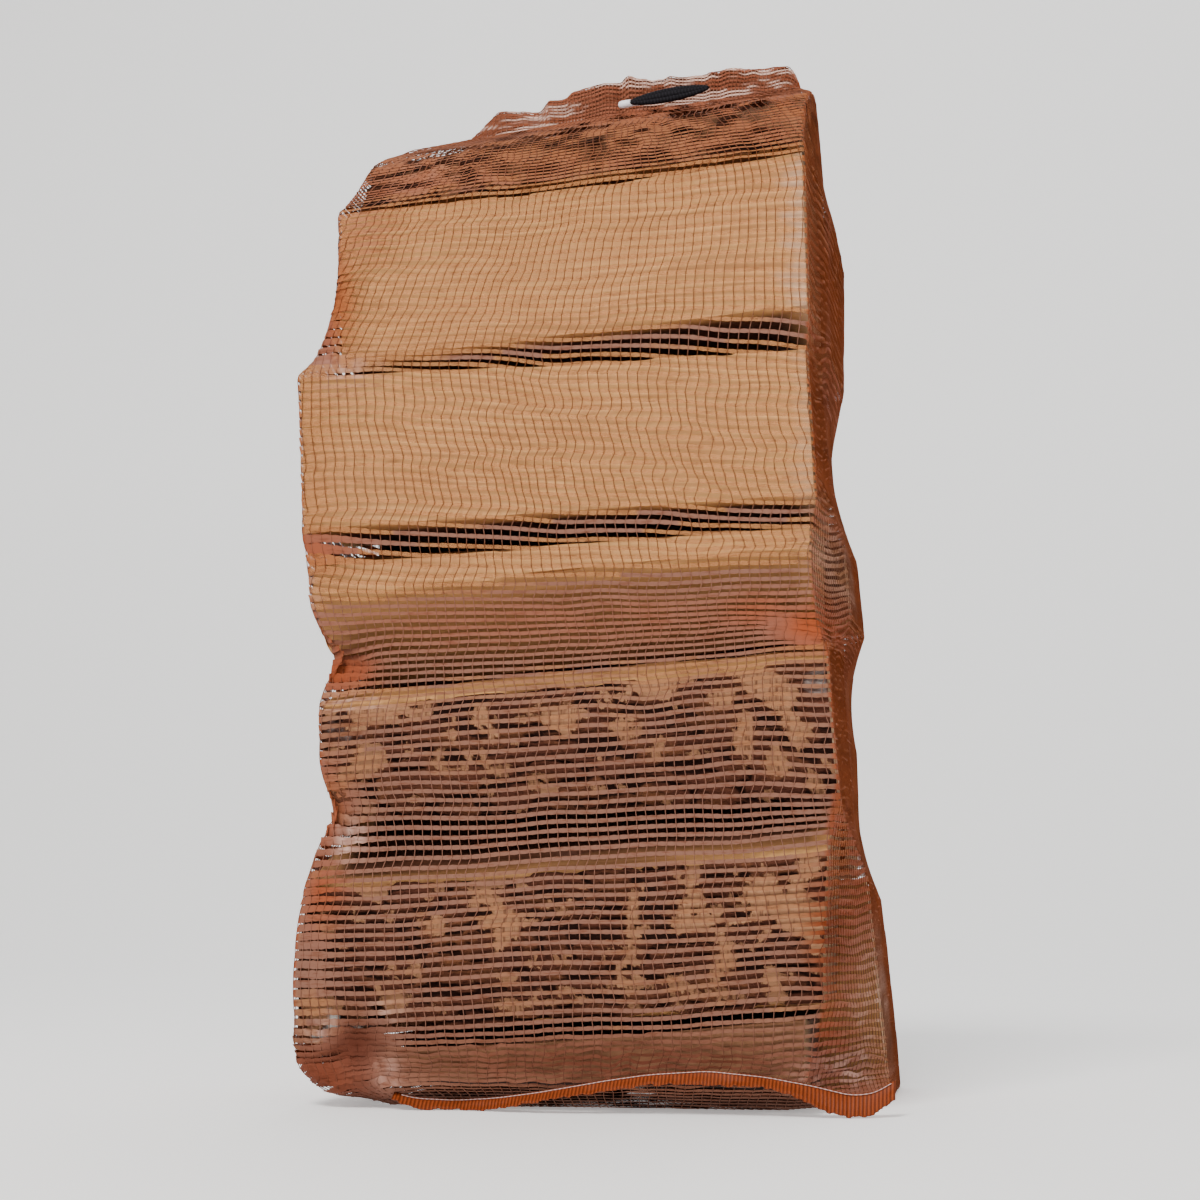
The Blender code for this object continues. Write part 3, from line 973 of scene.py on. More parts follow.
        # Painted shade: inner darkens wood lying deep in the bag behind the net, but not past
        # the bare end. It takes in the shadow spots, and the log's shade sets its strength.
        inner = smooth(3.5 * MM, 20 * MM, surface.depth_in(everything))
        bare = (form.bare * MM + SHIFT[0]) - everything[:, 0]
        inner = inner * smooth(-12 * MM, 0.0, bare)
        dark, shaded = ([0.8 * spot.share(everything[:, 0], everything[:, 2])
                         for spot in form.spots if spot.mark is mark]
                        for mark in (Mark.GAP_SHADOW, Mark.SHADED))
        inner = np.max([inner] + dark, axis=0)
        paint(piece, "inner", np.max([inner] + shaded, axis=0) * form.shade)
        paint(piece, "tip", form.tip * self.tips(everything))
        wood = np.where(np.isin(form.side_of(), list(form.bark)), 0.0, 1.0)
        light = np.maximum(np.broadcast_to(wood, (rows, cols)), 0.55 * flake)
        light = np.maximum(light, np.maximum(0.35 * grey, white))
        self.places = everything
        # A log blended towards dark brown also takes the light from the tapes over it.
        light = np.concatenate([light.reshape(-1), blank + 0.8]) * (1 - form.darkening)
        # The painted shade also takes the light from the tapes over this wood, so they turn
        # dark too.
        self.light = light * (1 - np.minimum(1.0, 1.4 * inner))
        materials = [SplitWoodFinish(form.tone, form.darkening).material(), BarkFinish().material(),
                     EndGrainFinish().material()]
        finish_piece(piece, materials, (form.name,))
        piece.data.polygons.foreach_set("material_index", kinds.astype(np.int32))
        piece.data.set_sharp_from_angle(angle=math.radians(48.0))
        return piece

    def drawn(self, points: np.ndarray, surface: "NetSurface") -> np.ndarray:
        """Return the wood worn back at the corners where a bunch draws the net in.

        Formula: a point is short by the bunches' pull and a small gap, less its depth in
        the bag. Points near a sawn end move towards the middle by 1.2 times what they are
        short of, and points of the front move back by it, a few times over.

        Args:
            points: All points of the log.
            surface: The net's surface, before any bunch draws it in.

        Returns:
            The points, worn back.
        """
        moved = points.copy()
        for _ in range(self.wear_rounds):
            pull = sum(bunch.share(moved) * bunch.draw * MM
                       for bunch in BUNCHES if bunch.draw > 0)
            short = np.maximum(0.0, pull + self.net_gap - surface.depth_in(moved))
            end = smooth(0.09, 0.11, np.abs(moved[:, 0]))
            moved[:, 0] -= 1.2 * np.sign(moved[:, 0]) * short * end
            moved[:, 1] += short * smooth(-0.06, -0.08, moved[:, 1])
        return moved

    def tips(self, points: np.ndarray) -> np.ndarray:
        """Return 1 on the fresh wood at the right end, falling raggedly to 0 inward.

        Args:
            points: All points of the log.

        Returns:
            The share at each point.
        """
        noise = Noise(self.seed + 60)
        ragged = noise.layers(points[:, 0] / 0.02, points[:, 2] / 0.004, 2)
        inward = (self.form.ends[1] * MM + SHIFT[0]) - points[:, 0]
        return smooth(14 * MM, 3 * MM, inward + (ragged - 0.4) * 20 * MM)


@dataclass
class NetSurface:
    """The taut surface of the net round the logs, as a grid of rings.

    Formula: a ring at a level is the polygon of the support lines of all the wood near
    that level. The support distances are closed as by a ball rolled up the outside of
    the wood, so that the net spans the gaps between logs.
    """

    forms: tuple
    gap: float = 1.3 * MM
    sides: int = 144
    columns: int = 1104
    level_step: float = 3.0 * MM
    ball: float = 95.0 * MM
    loose: tuple = ((-128, -84, 24), (-113, -84, 13), (-129, -84, 112))
    beyond: int = 60
    rays: int = 1440
    foot: float = 0.9 * MM
    floor_shares: tuple = (0.04, 0.25, 0.5, 0.75, 0.92)
    ridge: tuple = (513, 0.092)
    mouth_centre: tuple = (22, -14)
    levels: tuple = (
        (0, 0.00), (10, 0.00), (42, 0.05), (85, 0.05), (123, 0.07), (144, 0.04),
        (185, 0.07), (212, 0.08), (236, 0.075), (260, 0.068), (277, 0.05), (290, 0.04),
        (330, 0.03), (367, 0.015), (382, 0.07), (420, 0.075), (458, 0.08), (482, 0.085),
        (498, 0.09), (513, 0.092))
    crest: tuple = (
        (-70, 5), (-60, 15), (-50, 19), (-27, 15), (-21, 22), (6, 26), (33, 24), (47, 22),
        (66, 22), (78, 24), (92, 24), (109, 22), (118, 16))
    shares: tuple = (0.02, 0.08, 0.26, 0.50, 0.76, 0.95, 1.0, 0.85, 0.55, 0.15)
    grid: np.ndarray = field(default_factory=lambda: np.zeros(0))
    meridian: np.ndarray = field(default_factory=lambda: np.zeros(0))
    reach: np.ndarray = field(default_factory=lambda: np.zeros(0))

    FLOOR_RINGS = 5
    LEVEL_ROUNDS = 6

    def directions(self) -> np.ndarray:
        """Return the support directions in plan, the first one to the front."""
        turn = circle(self.sides) - math.pi / 2
        return np.stack([np.cos(turn), np.sin(turn)])

    def depth_in(self, points: np.ndarray) -> np.ndarray:
        """Return how deep points lie in the bag, along the nearest support line.

        Args:
            points: Points as (x, y, z).

        Returns:
            Their depths in metres.
        """
        level = np.round(self.level_of(points) / self.level_step).astype(int)
        level = np.clip(level, 0, len(self.reach) - 1)
        reach = points[:, :2] @ self.directions()
        return (self.reach[level] - reach).min(axis=1)

    def level_along(self, along: np.ndarray) -> np.ndarray:
        """Return the level at lengths up the surface; below and above it holds."""
        walls = self.meridian[self.FLOOR_RINGS:self.FLOOR_RINGS + len(self.reach)]
        return np.interp(along, walls, np.arange(len(walls)) * self.level_step)

    def rim(self) -> float:
        """Return the length up the surface at which the mouth starts."""
        return float(self.meridian[self.FLOOR_RINGS + len(self.reach)])

    def slope(self, level: np.ndarray) -> np.ndarray:
        """Return how much a level rises per length along X."""
        table = np.array(self.levels, float)
        return from_table(table * (MM, 1.0), level)

    def level_of(self, points: np.ndarray) -> np.ndarray:
        """Return the level, as its height at x = 0, on which each point lies.

        Args:
            points: Points as (x, y, z).

        Returns:
            Their levels in metres.
        """
        x = points[:, 0] - SHIFT[0]
        level = points[:, 2].copy()
        for _ in range(self.LEVEL_ROUNDS):
            level = points[:, 2] - self.slope(level) * x
        return level

    def supports(self) -> np.ndarray:
        """Return the support distance of the wood, by level and by direction.

        The net also reaches out to a few loose points, where it sags away from the wood.
        """
        cloud = np.concatenate([form.rings(60)[0].reshape(-1, 3) for form in self.forms]
                               + [np.array(self.loose, float) * MM + SHIFT])
        level = self.level_of(cloud)
        count = int(self.ridge[0] * MM / self.level_step) + 1
        place = np.clip(np.round(level / self.level_step).astype(int), 0, count - 1)
        reach = cloud[:, :2] @ self.directions()
        order = np.argsort(place, kind="stable")
        bins, first = np.unique(place[order], return_index=True)
        found = np.full((count, self.sides), -1.0)
        found[bins] = np.maximum.reduceat(reach[order], first, axis=0)
        found[0] = found[1]
        return self.stretched(found)

    def stretched(self, found: np.ndarray) -> np.ndarray:
        """Return the supports spanned over gaps.

        Formula: the largest of support - drop over all levels, then the smallest of that
        + drop, where drop is the square of the levels' distance over twice the ball's
        radius. Levels beyond the ends let the foot and the ridge keep their own size.

        Args:
            found: The wood's own support distances, by level and direction.

        Returns:
            The net's support distances.
        """
        count = len(found)
        inside = np.arange(count) * self.level_step
        height = np.arange(-self.beyond, count + self.beyond) * self.level_step
        drop = ((height[:, None] - inside) ** 2 / (2 * self.ball))[..., None]
        spread = (found[None] - drop).max(axis=1)
        closed = (spread[:, None] + drop).min(axis=0)
        near = np.pad(closed, ((1, 1), (0, 0)), mode="edge")
        return np.maximum(closed, (near[:-2] + near[1:-1] + near[2:]) / 3)

    def polygon(self, reach: np.ndarray) -> np.ndarray:
        """Return points, in plan, round the area inside one level's support lines.

        Formula: on a ray from the middle, the nearest of the crossings with the lines,
        each at support / cosine of the angle between the ray and the line's direction.

        Args:
            reach: The level's support distances.

        Returns:
            One point a ray, as (x, y).
        """
        turn = circle(self.sides)
        ray = circle(self.rays)
        lean = np.cos(turn[None] - ray[:, None])
        far = np.where(lean > 0.05, reach / np.maximum(lean, 0.05), FAR).min(axis=1)
        ray = ray - math.pi / 2
        return np.stack([far * np.cos(ray), far * np.sin(ray)], axis=1)

    def walk(self, corners: np.ndarray, start_x: float) -> np.ndarray:
        """Return evenly spaced points round a polygon, from its front at start_x.

        Args:
            corners: The polygon's corners, as (x, y).
            start_x: Where the walk starts.

        Returns:
            One point a column of the grid.
        """
        following = np.roll(corners, -1, axis=0)
        crosses = (corners[:, 0] < start_x) & (following[:, 0] >= start_x)
        place = int(np.argmax(crosses))
        before, after = corners[place], following[place]
        start = before + (after - before) * (start_x - before[0]) / (after[0] - before[0])
        ahead = np.roll(corners, -place - 1, axis=0)
        loop = np.concatenate([start[None], ahead, start[None]])
        return even_loop(loop, self.columns)

    def lifted(self, plan: np.ndarray, level: float, slope: float) -> np.ndarray:
        """Return points in plan put on a sloping level."""
        height = level + slope * (plan[:, 0] - SHIFT[0])
        return np.concatenate([plan, height[:, None]], axis=1)

    def mouth(self) -> list[np.ndarray]:
        """Return the rings of the gathered mouth, from the ridge up and into the bag.

        Formula: ovals whose half widths follow a short profile and whose rise is a
        share of the crest, a table along X. Noise round the mouth moves them out and
        up, as folds about 8 mm wide, the more the higher they rise.
        """
        half_x = (98, 96, 94, 93, 94, 92, 86, 80, 76, 74)
        half_y = (27, 20, 15.5, 14, 15.5, 15, 11, 8, 6.5, 6)
        angle = circle(self.rays) - math.pi / 2
        rings = []
        for wide, deep, share in zip(half_x, half_y, self.shares):
            x = self.mouth_centre[0] + wide * np.cos(angle)
            fold = Noise(9).layers((x + 200) / 9.0, np.sin(angle) * 1.5 + 4.0, 2) - 0.5
            crease = Noise(19).at((x + 200) / 4.0, np.sin(angle) * 2.0 + 4.0) - 0.5
            out = (5.0 * fold + 2.0 * crease) * share
            lift = share * (from_table(self.crest, x) + 7.0 * fold)
            x = x + out * np.cos(angle)
            y = self.mouth_centre[1] + (deep + out) * np.sin(angle)
            plan = np.stack([x, y], axis=1) * MM + SHIFT[:2]
            z = (self.ridge[0] + lift) * MM + self.ridge[1] * x * MM
            ring = np.concatenate([plan, z[:, None]], axis=1)
            rings.append(even_loop(np.concatenate([ring, ring[:1]]), self.columns))
        return rings

    def fit(self) -> None:
        """Work out the grid of rings and the mean length up it, ring by ring."""
        self.reach = self.supports() + self.gap
        heights = np.arange(len(self.reach)) * self.level_step
        walls = []
        for level, row in zip(heights, self.reach):
            plan = self.walk(self.polygon(row), SHIFT[0] + 0.004)
            walls.append(self.lifted(plan, max(level, self.foot), float(self.slope(level))))
        middle = np.array([walls[0][:, 0].mean(), walls[0][:, 1].mean(), 0.0])
        floor = []
        for share in self.floor_shares:
            ring = middle + (walls[0] - middle) * share
            ring[:, 2] = self.foot
            floor.append(ring)
        self.grid = np.array(floor + walls + self.mouth())
        rise = np.linalg.norm(np.diff(self.grid, axis=0), axis=2).mean(axis=1)
        self.meridian = np.concatenate([[0.0], np.cumsum(rise)])

    def sample(self, across: np.ndarray, along: np.ndarray) -> np.ndarray:
        """Return points of the surface, blended between its grid's four neighbours.

        Args:
            across: The share of the way round, where 1 is once round.
            along: The length up the surface, in metres.

        Returns:
            One point for each pair.
        """
        row = np.interp(along, self.meridian, np.arange(len(self.meridian)))
        low = np.minimum(np.floor(row).astype(int), len(self.meridian) - 2)
        up = (row - low)[..., None]
        col = (across % 1.0) * self.columns
        left = np.floor(col).astype(int) % self.columns
        right = (left + 1) % self.columns
        side = (col - np.floor(col))[..., None]
        under = self.grid[low, left] * (1 - side) + self.grid[low, right] * side
        over = self.grid[low + 1, left] * (1 - side) + self.grid[low + 1, right] * side
        return under * (1 - up) + over * up

    def frame_at(self, across: np.ndarray, along: np.ndarray) -> tuple:
        """Return points with their directions round, up and out of the surface.

        Args:
            across: The share of the way round.
            along: The length up the surface.

        Returns:
            Points, then the directions round, up and out.
        """
        step = 1.6 * MM
        turn = 1.5 / self.columns
        place = self.sample(across, along)
        above = self.sample(across, np.minimum(along + step, self.meridian[-1]))
        below = self.sample(across, np.maximum(along - step, 0.0))
        ahead = self.sample(across + turn, along)
        behind = self.sample(across - turn, along)
        up = unit(above - below)
        way = unit(ahead - behind)
        out = unit(np.cross(way, up))
        return place, way, up, out

    def front_y(self, x: np.ndarray, z: np.ndarray) -> np.ndarray:
        """Return how far forward the net reaches at places seen from the front.

        Args:
            x: Places along X.
            z: Their heights.

        Returns:
            The least Y of the net at each place.
        """
        walls = self.grid[self.FLOOR_RINGS:self.FLOOR_RINGS + len(self.reach)]
        level = np.clip(np.round(z / self.level_step).astype(int), 0, len(walls) - 1)
        found = []
        for one_x, one_level in zip(x, level):
            ring = walls[one_level]
            near = ring[np.abs(ring[:, 0] - one_x) < 2.5 * MM]
            found.append(near[:, 1].min() if len(near) else FAR)
        return np.array(found)


@dataclass
class WoodMap:
    """How light the wood is near any place, on a grid of small cubic cells.

    Formula: a cell's value is the lightness summed over the wood's points in the block
    of 3 * 3 * 3 cells about it, over their number, which counts as at least full.
    """

    logs: list
    cell: float = 3.0 * MM
    full: float = 9.0
    low: tuple = (-0.17, -0.13, -0.02)
    shape: tuple = (114, 87, 190)
    value: np.ndarray = field(default_factory=lambda: np.zeros(0))

    def index(self, points: np.ndarray) -> tuple:
        """Return the cell of each point."""
        cells = ((points - np.array(self.low)) / self.cell).astype(int)
        return tuple(np.clip(cells[..., k], 1, self.shape[k] - 2) for k in range(3))

    def fill(self) -> None:
        """Sort the points of all the logs into the grid."""
        # The lightness carries the logs' painted gap shade, so tapes over shaded gaps turn
        # dark.
        points = np.concatenate([log.places for log in self.logs])
        light = np.concatenate([log.light for log in self.logs])
        flat = np.ravel_multi_index(self.index(points), self.shape)
        size = int(np.prod(self.shape))
        total = np.bincount(flat, light, size).reshape(self.shape)
        count = np.bincount(flat, None, size).reshape(self.shape).astype(float)
        for axis in range(3):
            total = total + np.roll(total, 1, axis) + np.roll(total, -1, axis)
            count = count + np.roll(count, 1, axis) + np.roll(count, -1, axis)
        self.value = total / np.maximum(count, self.full)

    def look(self, points: np.ndarray) -> np.ndarray:
        """Return the lightness of the wood near points, 0 to 1."""
        return self.value[self.index(points)]


@dataclass(frozen=True)
class Bunch:
    """A soft oval on the front of the net where it is bunched or drawn together.

    Sizes are millimetres. stack makes its tapes deep orange, pale makes them whitish,
    partly as painted glints and sheen, crumple shakes them, pinch draws the rows towards
    its middle, draw pulls the net inward by so many millimetres, clear shows the wood
    behind it, dim darkens it with painted shade, dense widens its tapes and reach takes
    the oval further round to the back.
    """

    x: float
    z: float
    wide: float
    tall: float
    stack: float = 0.0
    pale: float = 0.0
    crumple: float = 0.0
    pinch: float = 0.0
    draw: float = 0.0
    clear: float = 0.0
    painted_shade: float = 0.0
    dense: float = 0.0
    reach: float = 0.0

    def share(self, points: np.ndarray) -> np.ndarray:
        """Return 1 in the middle of the oval, falling to 0 outside as a bell curve."""
        spot = Spot(self.x, self.z, self.wide, self.tall)
        front = smooth(0.0, FRONT_Y, points[..., 1] - self.reach * MM)
        return spot.share(points[..., 0], points[..., 2]) * front


# The bunches' dim shares are painted shade on the net. Their pale shares are partly painted
# glints.
BUNCHES = (
    Bunch(131, 232, 26, 12, stack=0.9, crumple=0.3, pinch=0.6, draw=1.0, dense=0.6),
    Bunch(-112, 214, 18, 10, stack=0.9, crumple=0.3, pinch=0.5, draw=15.0, dense=0.8),
    Bunch(-106, 130, 7, 8, stack=0.2, pale=0.9, crumple=0.8, pinch=0.2),
    Bunch(-118, 141, 15, 12, draw=8.0),
    Bunch(-108, 365, 14, 9, pale=0.45, crumple=0.5),
    Bunch(-80, 478, 36, 22, stack=0.6, pale=0.1, crumple=1.0),
    Bunch(40, 492, 90, 24, stack=0.5, crumple=0.6),
    Bunch(0, 484, 170, 26, clear=0.5),
    Bunch(-100, 440, 18, 18, stack=0.5, pale=0.1, crumple=0.3),
    Bunch(-116, 405, 12, 36, stack=0.7, crumple=0.3, dense=0.9),
    Bunch(-127, 275, 26, 10, stack=0.6, crumple=0.2, dense=1.3),
    Bunch(-124, 146, 15, 22, stack=0.7, crumple=0.3, dense=1.4),
    Bunch(142, 20, 26, 9, stack=0.3, pale=0.8, crumple=1.0, dense=0.6),
    Bunch(40, 24, 130, 13, stack=0.2, crumple=0.9, painted_shade=0.75),
    Bunch(-100, 30, 18, 14, stack=0.2, crumple=0.6, painted_shade=0.85, dense=1.4, reach=60),
    Bunch(-115, 41, 4, 5, pale=0.8),
    Bunch(-121, 35, 6, 3, pale=0.8),
    Bunch(-118, 16, 30, 15, stack=0.5, crumple=0.5, draw=-8.0, painted_shade=0.6, dense=1.0),
    Bunch(-118, 104, 12, 17, stack=0.7, crumple=0.3),
    Bunch(131, 92, 6, 24, stack=0.6, crumple=0.1, painted_shade=0.3),
    Bunch(-132, 252, 10, 8, pale=0.5, crumple=0.1),
    Bunch(0, 236, 150, 16, stack=0.3, crumple=0.1),
    Bunch(-84, 17, 6, 9, stack=0.3, pale=0.6, crumple=0.8),
    Bunch(100, 240, 24, 10, stack=0.6, crumple=0.2, pinch=0.2),
    Bunch(150, 46, 12, 34, clear=1.0, pale=0.5, reach=70),
    Bunch(129, 84, 8, 26, stack=0.8, painted_shade=0.6, reach=20),
    Bunch(-84, 48, 7, 5, pale=0.6, crumple=0.3),
    Bunch(-104, 197, 15, 5, pale=0.55, crumple=0.5),
    Bunch(-104, 185, 15, 6, painted_shade=0.7, pale=0.15),
    Bunch(-122, 66, 10, 40, dense=0.7),
    Bunch(-104, 10, 26, 12, dense=1.6, painted_shade=0.5, reach=80),
    Bunch(-126, 272, 20, 14, dense=1.6, reach=80),
    Bunch(-116, 214, 16, 12, dense=1.6, reach=80),
    Bunch(-116, 142, 16, 16, dense=1.6, reach=80),
    Bunch(-130, 200, 12, 230, dense=0.9),
    Bunch(133, 268, 10, 18, clear=1.0, pale=0.35, reach=60))


@dataclass
class NetBag:
    """The knitted net: flat tapes that run round it and chain threads that run up it.

    PITCH is the tapes' spacing by level, and LEAN how far the threads have moved right
    by level, at the left, the middle and the right of the front, all in millimetres.
    TILT is how steeply the tapes fall to the right on the front, by level.
    """

    surface: NetSurface
    wood: WoodMap
    chains: int = 184
    tape_half: float = 1.14 * MM
    tape_back: float = 0.12 * MM
    chain_radius: float = 0.26 * MM
    floor_gap: float = 0.6 * MM
    mouth_pitch: float = STRAND_PITCH
    floor_pitch: float = 3.6 * MM

    PITCH = ((0, 3.0), (22, 3.2), (45, 4.6), (188, 4.6), (206, 3.4), (250, 3.5), (262, 4.5),
             (456, 4.5), (468, 2.5), (513, 2.3))
    LEAN_LEVELS = (0, 200, 290, 340, 371, 400, 430, 455, 513)
    LEAN = ((-2, 2, 4, 0, 0, 12, 26, 34, 36), (-2, 2, 4, 0, 0, 7, 15, 20, 22),
            (0, 2, 4, 0, 0, 3, 6, 8, 9))
    LEAN_AT = (-0.13, 0.0, 0.13)
    TILT = ((45, 0.0), (200, 0.02), (230, 0.07), (290, 0.12), (380, 0.11), (430, 0.07),
            (468, 0.0))
    PERIMETER = 0.9
    PLAIN_PITCH = 4.6
    FOLD_ROWS = 46
    CRUMPLE = 7.5 * MM

    def lean(self, side: np.ndarray, level: np.ndarray) -> np.ndarray:
        """Return the threads' lean in metres, at a share of the way round and a level.

        Args:
            side: The share of the way round, 0 in the middle of the front.
            level: The level in metres.

        Returns:
            The lean to the right.
        """
        columns = np.stack([np.interp(level / MM, self.LEAN_LEVELS, row)
                            for row in self.LEAN], axis=-1)
        place = np.interp(side, self.LEAN_AT, (0.0, 1.0, 2.0))
        low = np.minimum(place.astype(int), 1)
        share = place - low
        first = np.take_along_axis(columns, low[..., None], -1)[..., 0]
        second = np.take_along_axis(columns, low[..., None] + 1, -1)[..., 0]
        fade = smooth(0.26, 0.15, np.abs(side))
        return (first * (1 - share) + second * share) * fade * MM

    def tilt(self, side: np.ndarray, level: np.ndarray) -> np.ndarray:
        """Return how far the tapes fall in metres, at a share of the way round and a level."""
        slope = from_table(self.TILT, level / MM)
        return slope * side * self.PERIMETER * smooth(0.26, 0.13, np.abs(side))

    def drift(self, across: np.ndarray, along: np.ndarray) -> tuple:
        """Return how far the net wanders: round it, up it, and out of its surface.

        Formula: the lean, slow noise both ways, and two sine waves up each thread whose
        phases drift round the bag. Bunches add fine noise and draw the rows together.

        Args:
            across: The share of the way round.
            along: The length up the surface.

        Returns:
            A share of the way round, then lengths up it and out of it.
        """
        side = (across + 0.5) % 1.0 - 0.5
        level = self.surface.level_along(along)
        wide = self.joined(Noise(5), side * 17.0, 17.0, along / 0.07) - 0.5
        slow = self.joined(Noise(12), side * 9.0, 9.0, along / 0.11)
        strength = smooth(0.25, 0.65, self.joined(Noise(21), side * 7.0, 7.0, along / 0.05))
        zigzag = np.sin(along / 0.0042 + 9.0 * slow) + 0.5 * np.sin(along / 0.0021 + 17 * slow)
        sideways = (self.lean(side, level)
                    + (7.0 * wide + 1.1 * zigzag * (0.25 + strength)) * MM)
        sag = (self.joined(Noise(31), side * 20.0, 20.0, along / 0.035) - 0.5) * 4.4 * MM
        sag = sag - self.tilt(side, level)
        rough = self.surface.sample(across, along)
        crumple = self.weight(rough, "crumple")
        x, z = rough[..., 0] / self.CRUMPLE, rough[..., 2] / self.CRUMPLE
        sag = sag + (Noise(51).layers(x + 70, z, 2) - 0.5) * crumple * 5.0 * MM
        sideways = sideways + (Noise(52).layers(x + 70, z, 2) - 0.5) * crumple * 5.0 * MM
        proud = Noise(53).layers(x + 70, z, 2) * crumple * 2.2 * MM
        for bunch in BUNCHES:
            if bunch.pinch:
                off = rough[..., 2] - bunch.z * MM
                sag = sag - bunch.share(rough) * bunch.pinch * off
            if bunch.draw:
                proud = proud - bunch.share(rough) * bunch.draw * MM
        return sideways / self.PERIMETER, sag, proud

    @staticmethod
    def joined(noise: Noise, turn: np.ndarray, whole: float, along: np.ndarray) -> np.ndarray:
        """Return noise that joins itself at the middle of the back.

        Formula: the noise fades into the noise one turn earlier, from 0.3 of a turn to
        the right of the front to the middle of the back, at 0.5.

        Args:
            noise: The noise.
            turn: Its first coordinate, 0 in the middle of the front.
            whole: The first coordinate's length of a whole turn.
            along: Its second coordinate.

        Returns:
            The noise, 0 to 1.
        """
        share = smooth(0.3, 0.5, turn / whole)
        here = noise.layers(turn + 60.0, along, 2)
        return here * (1 - share) + noise.layers(turn - whole + 60.0, along, 2) * share

    @staticmethod
    def weight(points: np.ndarray, name: str) -> np.ndarray:
        """Return the strongest of the bunches' values of one kind at points."""
        shares = [bunch.share(points) * getattr(bunch, name)
                  for bunch in BUNCHES if getattr(bunch, name)]
        return np.max(shares, axis=0)

    def rows(self) -> np.ndarray:
        """Return the length up the surface of each tape.

        Formula: tapes lie where the sum of 1 / pitch along the surface is a whole number.
        """
        surface = self.surface
        fine = np.linspace(0.003, surface.meridian[-1], 4000)
        pitch = from_table(self.PITCH, surface.level_along(fine) / MM) * MM
        foot = surface.meridian[surface.FLOOR_RINGS]
        pitch = np.where(fine < foot - 0.004, self.floor_pitch, pitch)
        pitch = np.where(fine > surface.rim(), self.mouth_pitch, pitch)
        total = np.concatenate([[0.0], np.cumsum(np.diff(fine) / pitch[1:])])
        return np.interp(np.arange(int(total[-1])), total, fine)

    def gathered(self, along: np.ndarray) -> np.ndarray:
        """Return 0 on the body of the bag and 1 in its gathered mouth."""
        rim = self.surface.rim()
        return smooth(rim - 2 * MM, rim + 9 * MM, along)

    def tint(self, piece: bpy.types.Object, place: np.ndarray, out: np.ndarray,
             along: np.ndarray, repeat: int) -> None:
        """Store what colours the net at each point.

        Args:
            piece: The piece of net.
            place: Its middle lines' points.
            out: The directions out of the bag at them.
            along: Their lengths up the surface.
            repeat: Number of the piece's points at each of them.
        """
        gather = self.gathered(along)
        level = self.surface.level_along(along)
        turned = smooth(0.45, 0.85, np.abs(out[..., 0])) * 0.75
        high = smooth(452 * MM, 470 * MM, level) * 0.5
        patchy = 0.75 + 0.5 * Noise(61).layers(place[..., 0] / 0.012, place[..., 2] / 0.009)
        clear = self.weight(place, "clear")
        stack = np.maximum(np.maximum(turned, high), self.weight(place, "stack")) * patchy
        stack = stack * (1 - 0.8 * clear)
        light = self.wood.look(place - out * 1.5 * MM) * (1 - 0.25 * gather)
        light = np.maximum(light, clear)
        # pale is partly painted glints and sheen, as sparkles in the bunches and streaks in the
        # gathered mouth, and partly the whitish colour of bunched tape.
        sparkle = smooth(0.42, 0.6, Noise(62).layers(
            place[..., 0] / 0.0035 + 90, place[..., 2] / 0.0035, 2))
        streak = Noise(63).layers(place[..., 0] / 0.022 + 90, place[..., 2] / 0.0026, 2)
        pale = np.maximum(self.weight(place, "pale") * (0.35 + 0.65 * sparkle),
                          gather * smooth(0.48, 0.62, streak))
        # dim is painted shade from the bunches.
        painted_shade = self.weight(place, "painted_shade")
        for name, values in (("light", light), ("stack", np.clip(stack, 0, 1)),
                             ("pale", np.clip(pale, 0, 1)), ("painted_shade", painted_shade)):
            paint(piece, name, np.repeat(values.reshape(-1), repeat))

    def tapes(self, name: str, rows: np.ndarray) -> bpy.types.Object:
        """Return one piece of tapes, each a thin closed band round the bag.

        Formula: at each point a band has a lower and an upper edge on its outer face and
        one point behind its middle. Its half height swells between two chains, shrinks
        where the rows lie close, and wanders a little with noise.

        Args:
            name: The piece's name.
            rows: The tapes' lengths up the surface.

        Returns:
            The undressed piece.
        """
        count = self.chains * 2
        across = (np.arange(count) / count)[None, :] * np.ones((len(rows), 1))
        along = rows[:, None] * np.ones((1, count))
        sideways, sag, proud = self.drift(across, along)
        place, _, up, out = self.surface.frame_at(across + sideways, along + sag)
        place = place + out * proud[..., None]
        place[..., 2] = np.maximum(place[..., 2], self.floor_gap)
        swell = np.where(np.arange(count) % 2 == 0, 0.80, 1.0)[None, :]
        uneven = 0.85 + 0.3 * Noise(40).at(across * count / 3.0, along / 0.0046)
        level = self.surface.level_along(along) / MM
        spacing = from_table(self.PITCH, level) / self.PLAIN_PITCH
        close = np.minimum(1.0, 0.25 + 0.75 * spacing) * (1 - 0.25 * self.gathered(along))
        turned = smooth(0.35, 0.8, np.abs(out[..., 0])) * (1 - self.weight(place, "clear"))
        wider = 1 + np.maximum(0.5 * turned, 1.3 * self.weight(place, "dense"))
        half = (self.tape_half * swell * uneven * close * wider)[..., None]
        shaky = 0.5 + 1.6 * self.weight(place, "crumple") + 0.8 * self.gathered(along)
        tilt = ((Noise(44).at(across * 70.0, along / 0.0046) - 0.5) * shaky)[..., None]
        lean = unit(up + out * tilt)
        face = unit(out - up * tilt)
        corners = [place - lean * half, place + lean * half, place - face * self.tape_back]
        points = np.stack(corners, axis=2)
        piece = make_mesh(name, points.reshape(-1, 3), self.band_quads(len(rows), count))
        piece.data.shade_flat()
        self.tint(piece, place, out, along, 3)
        return piece

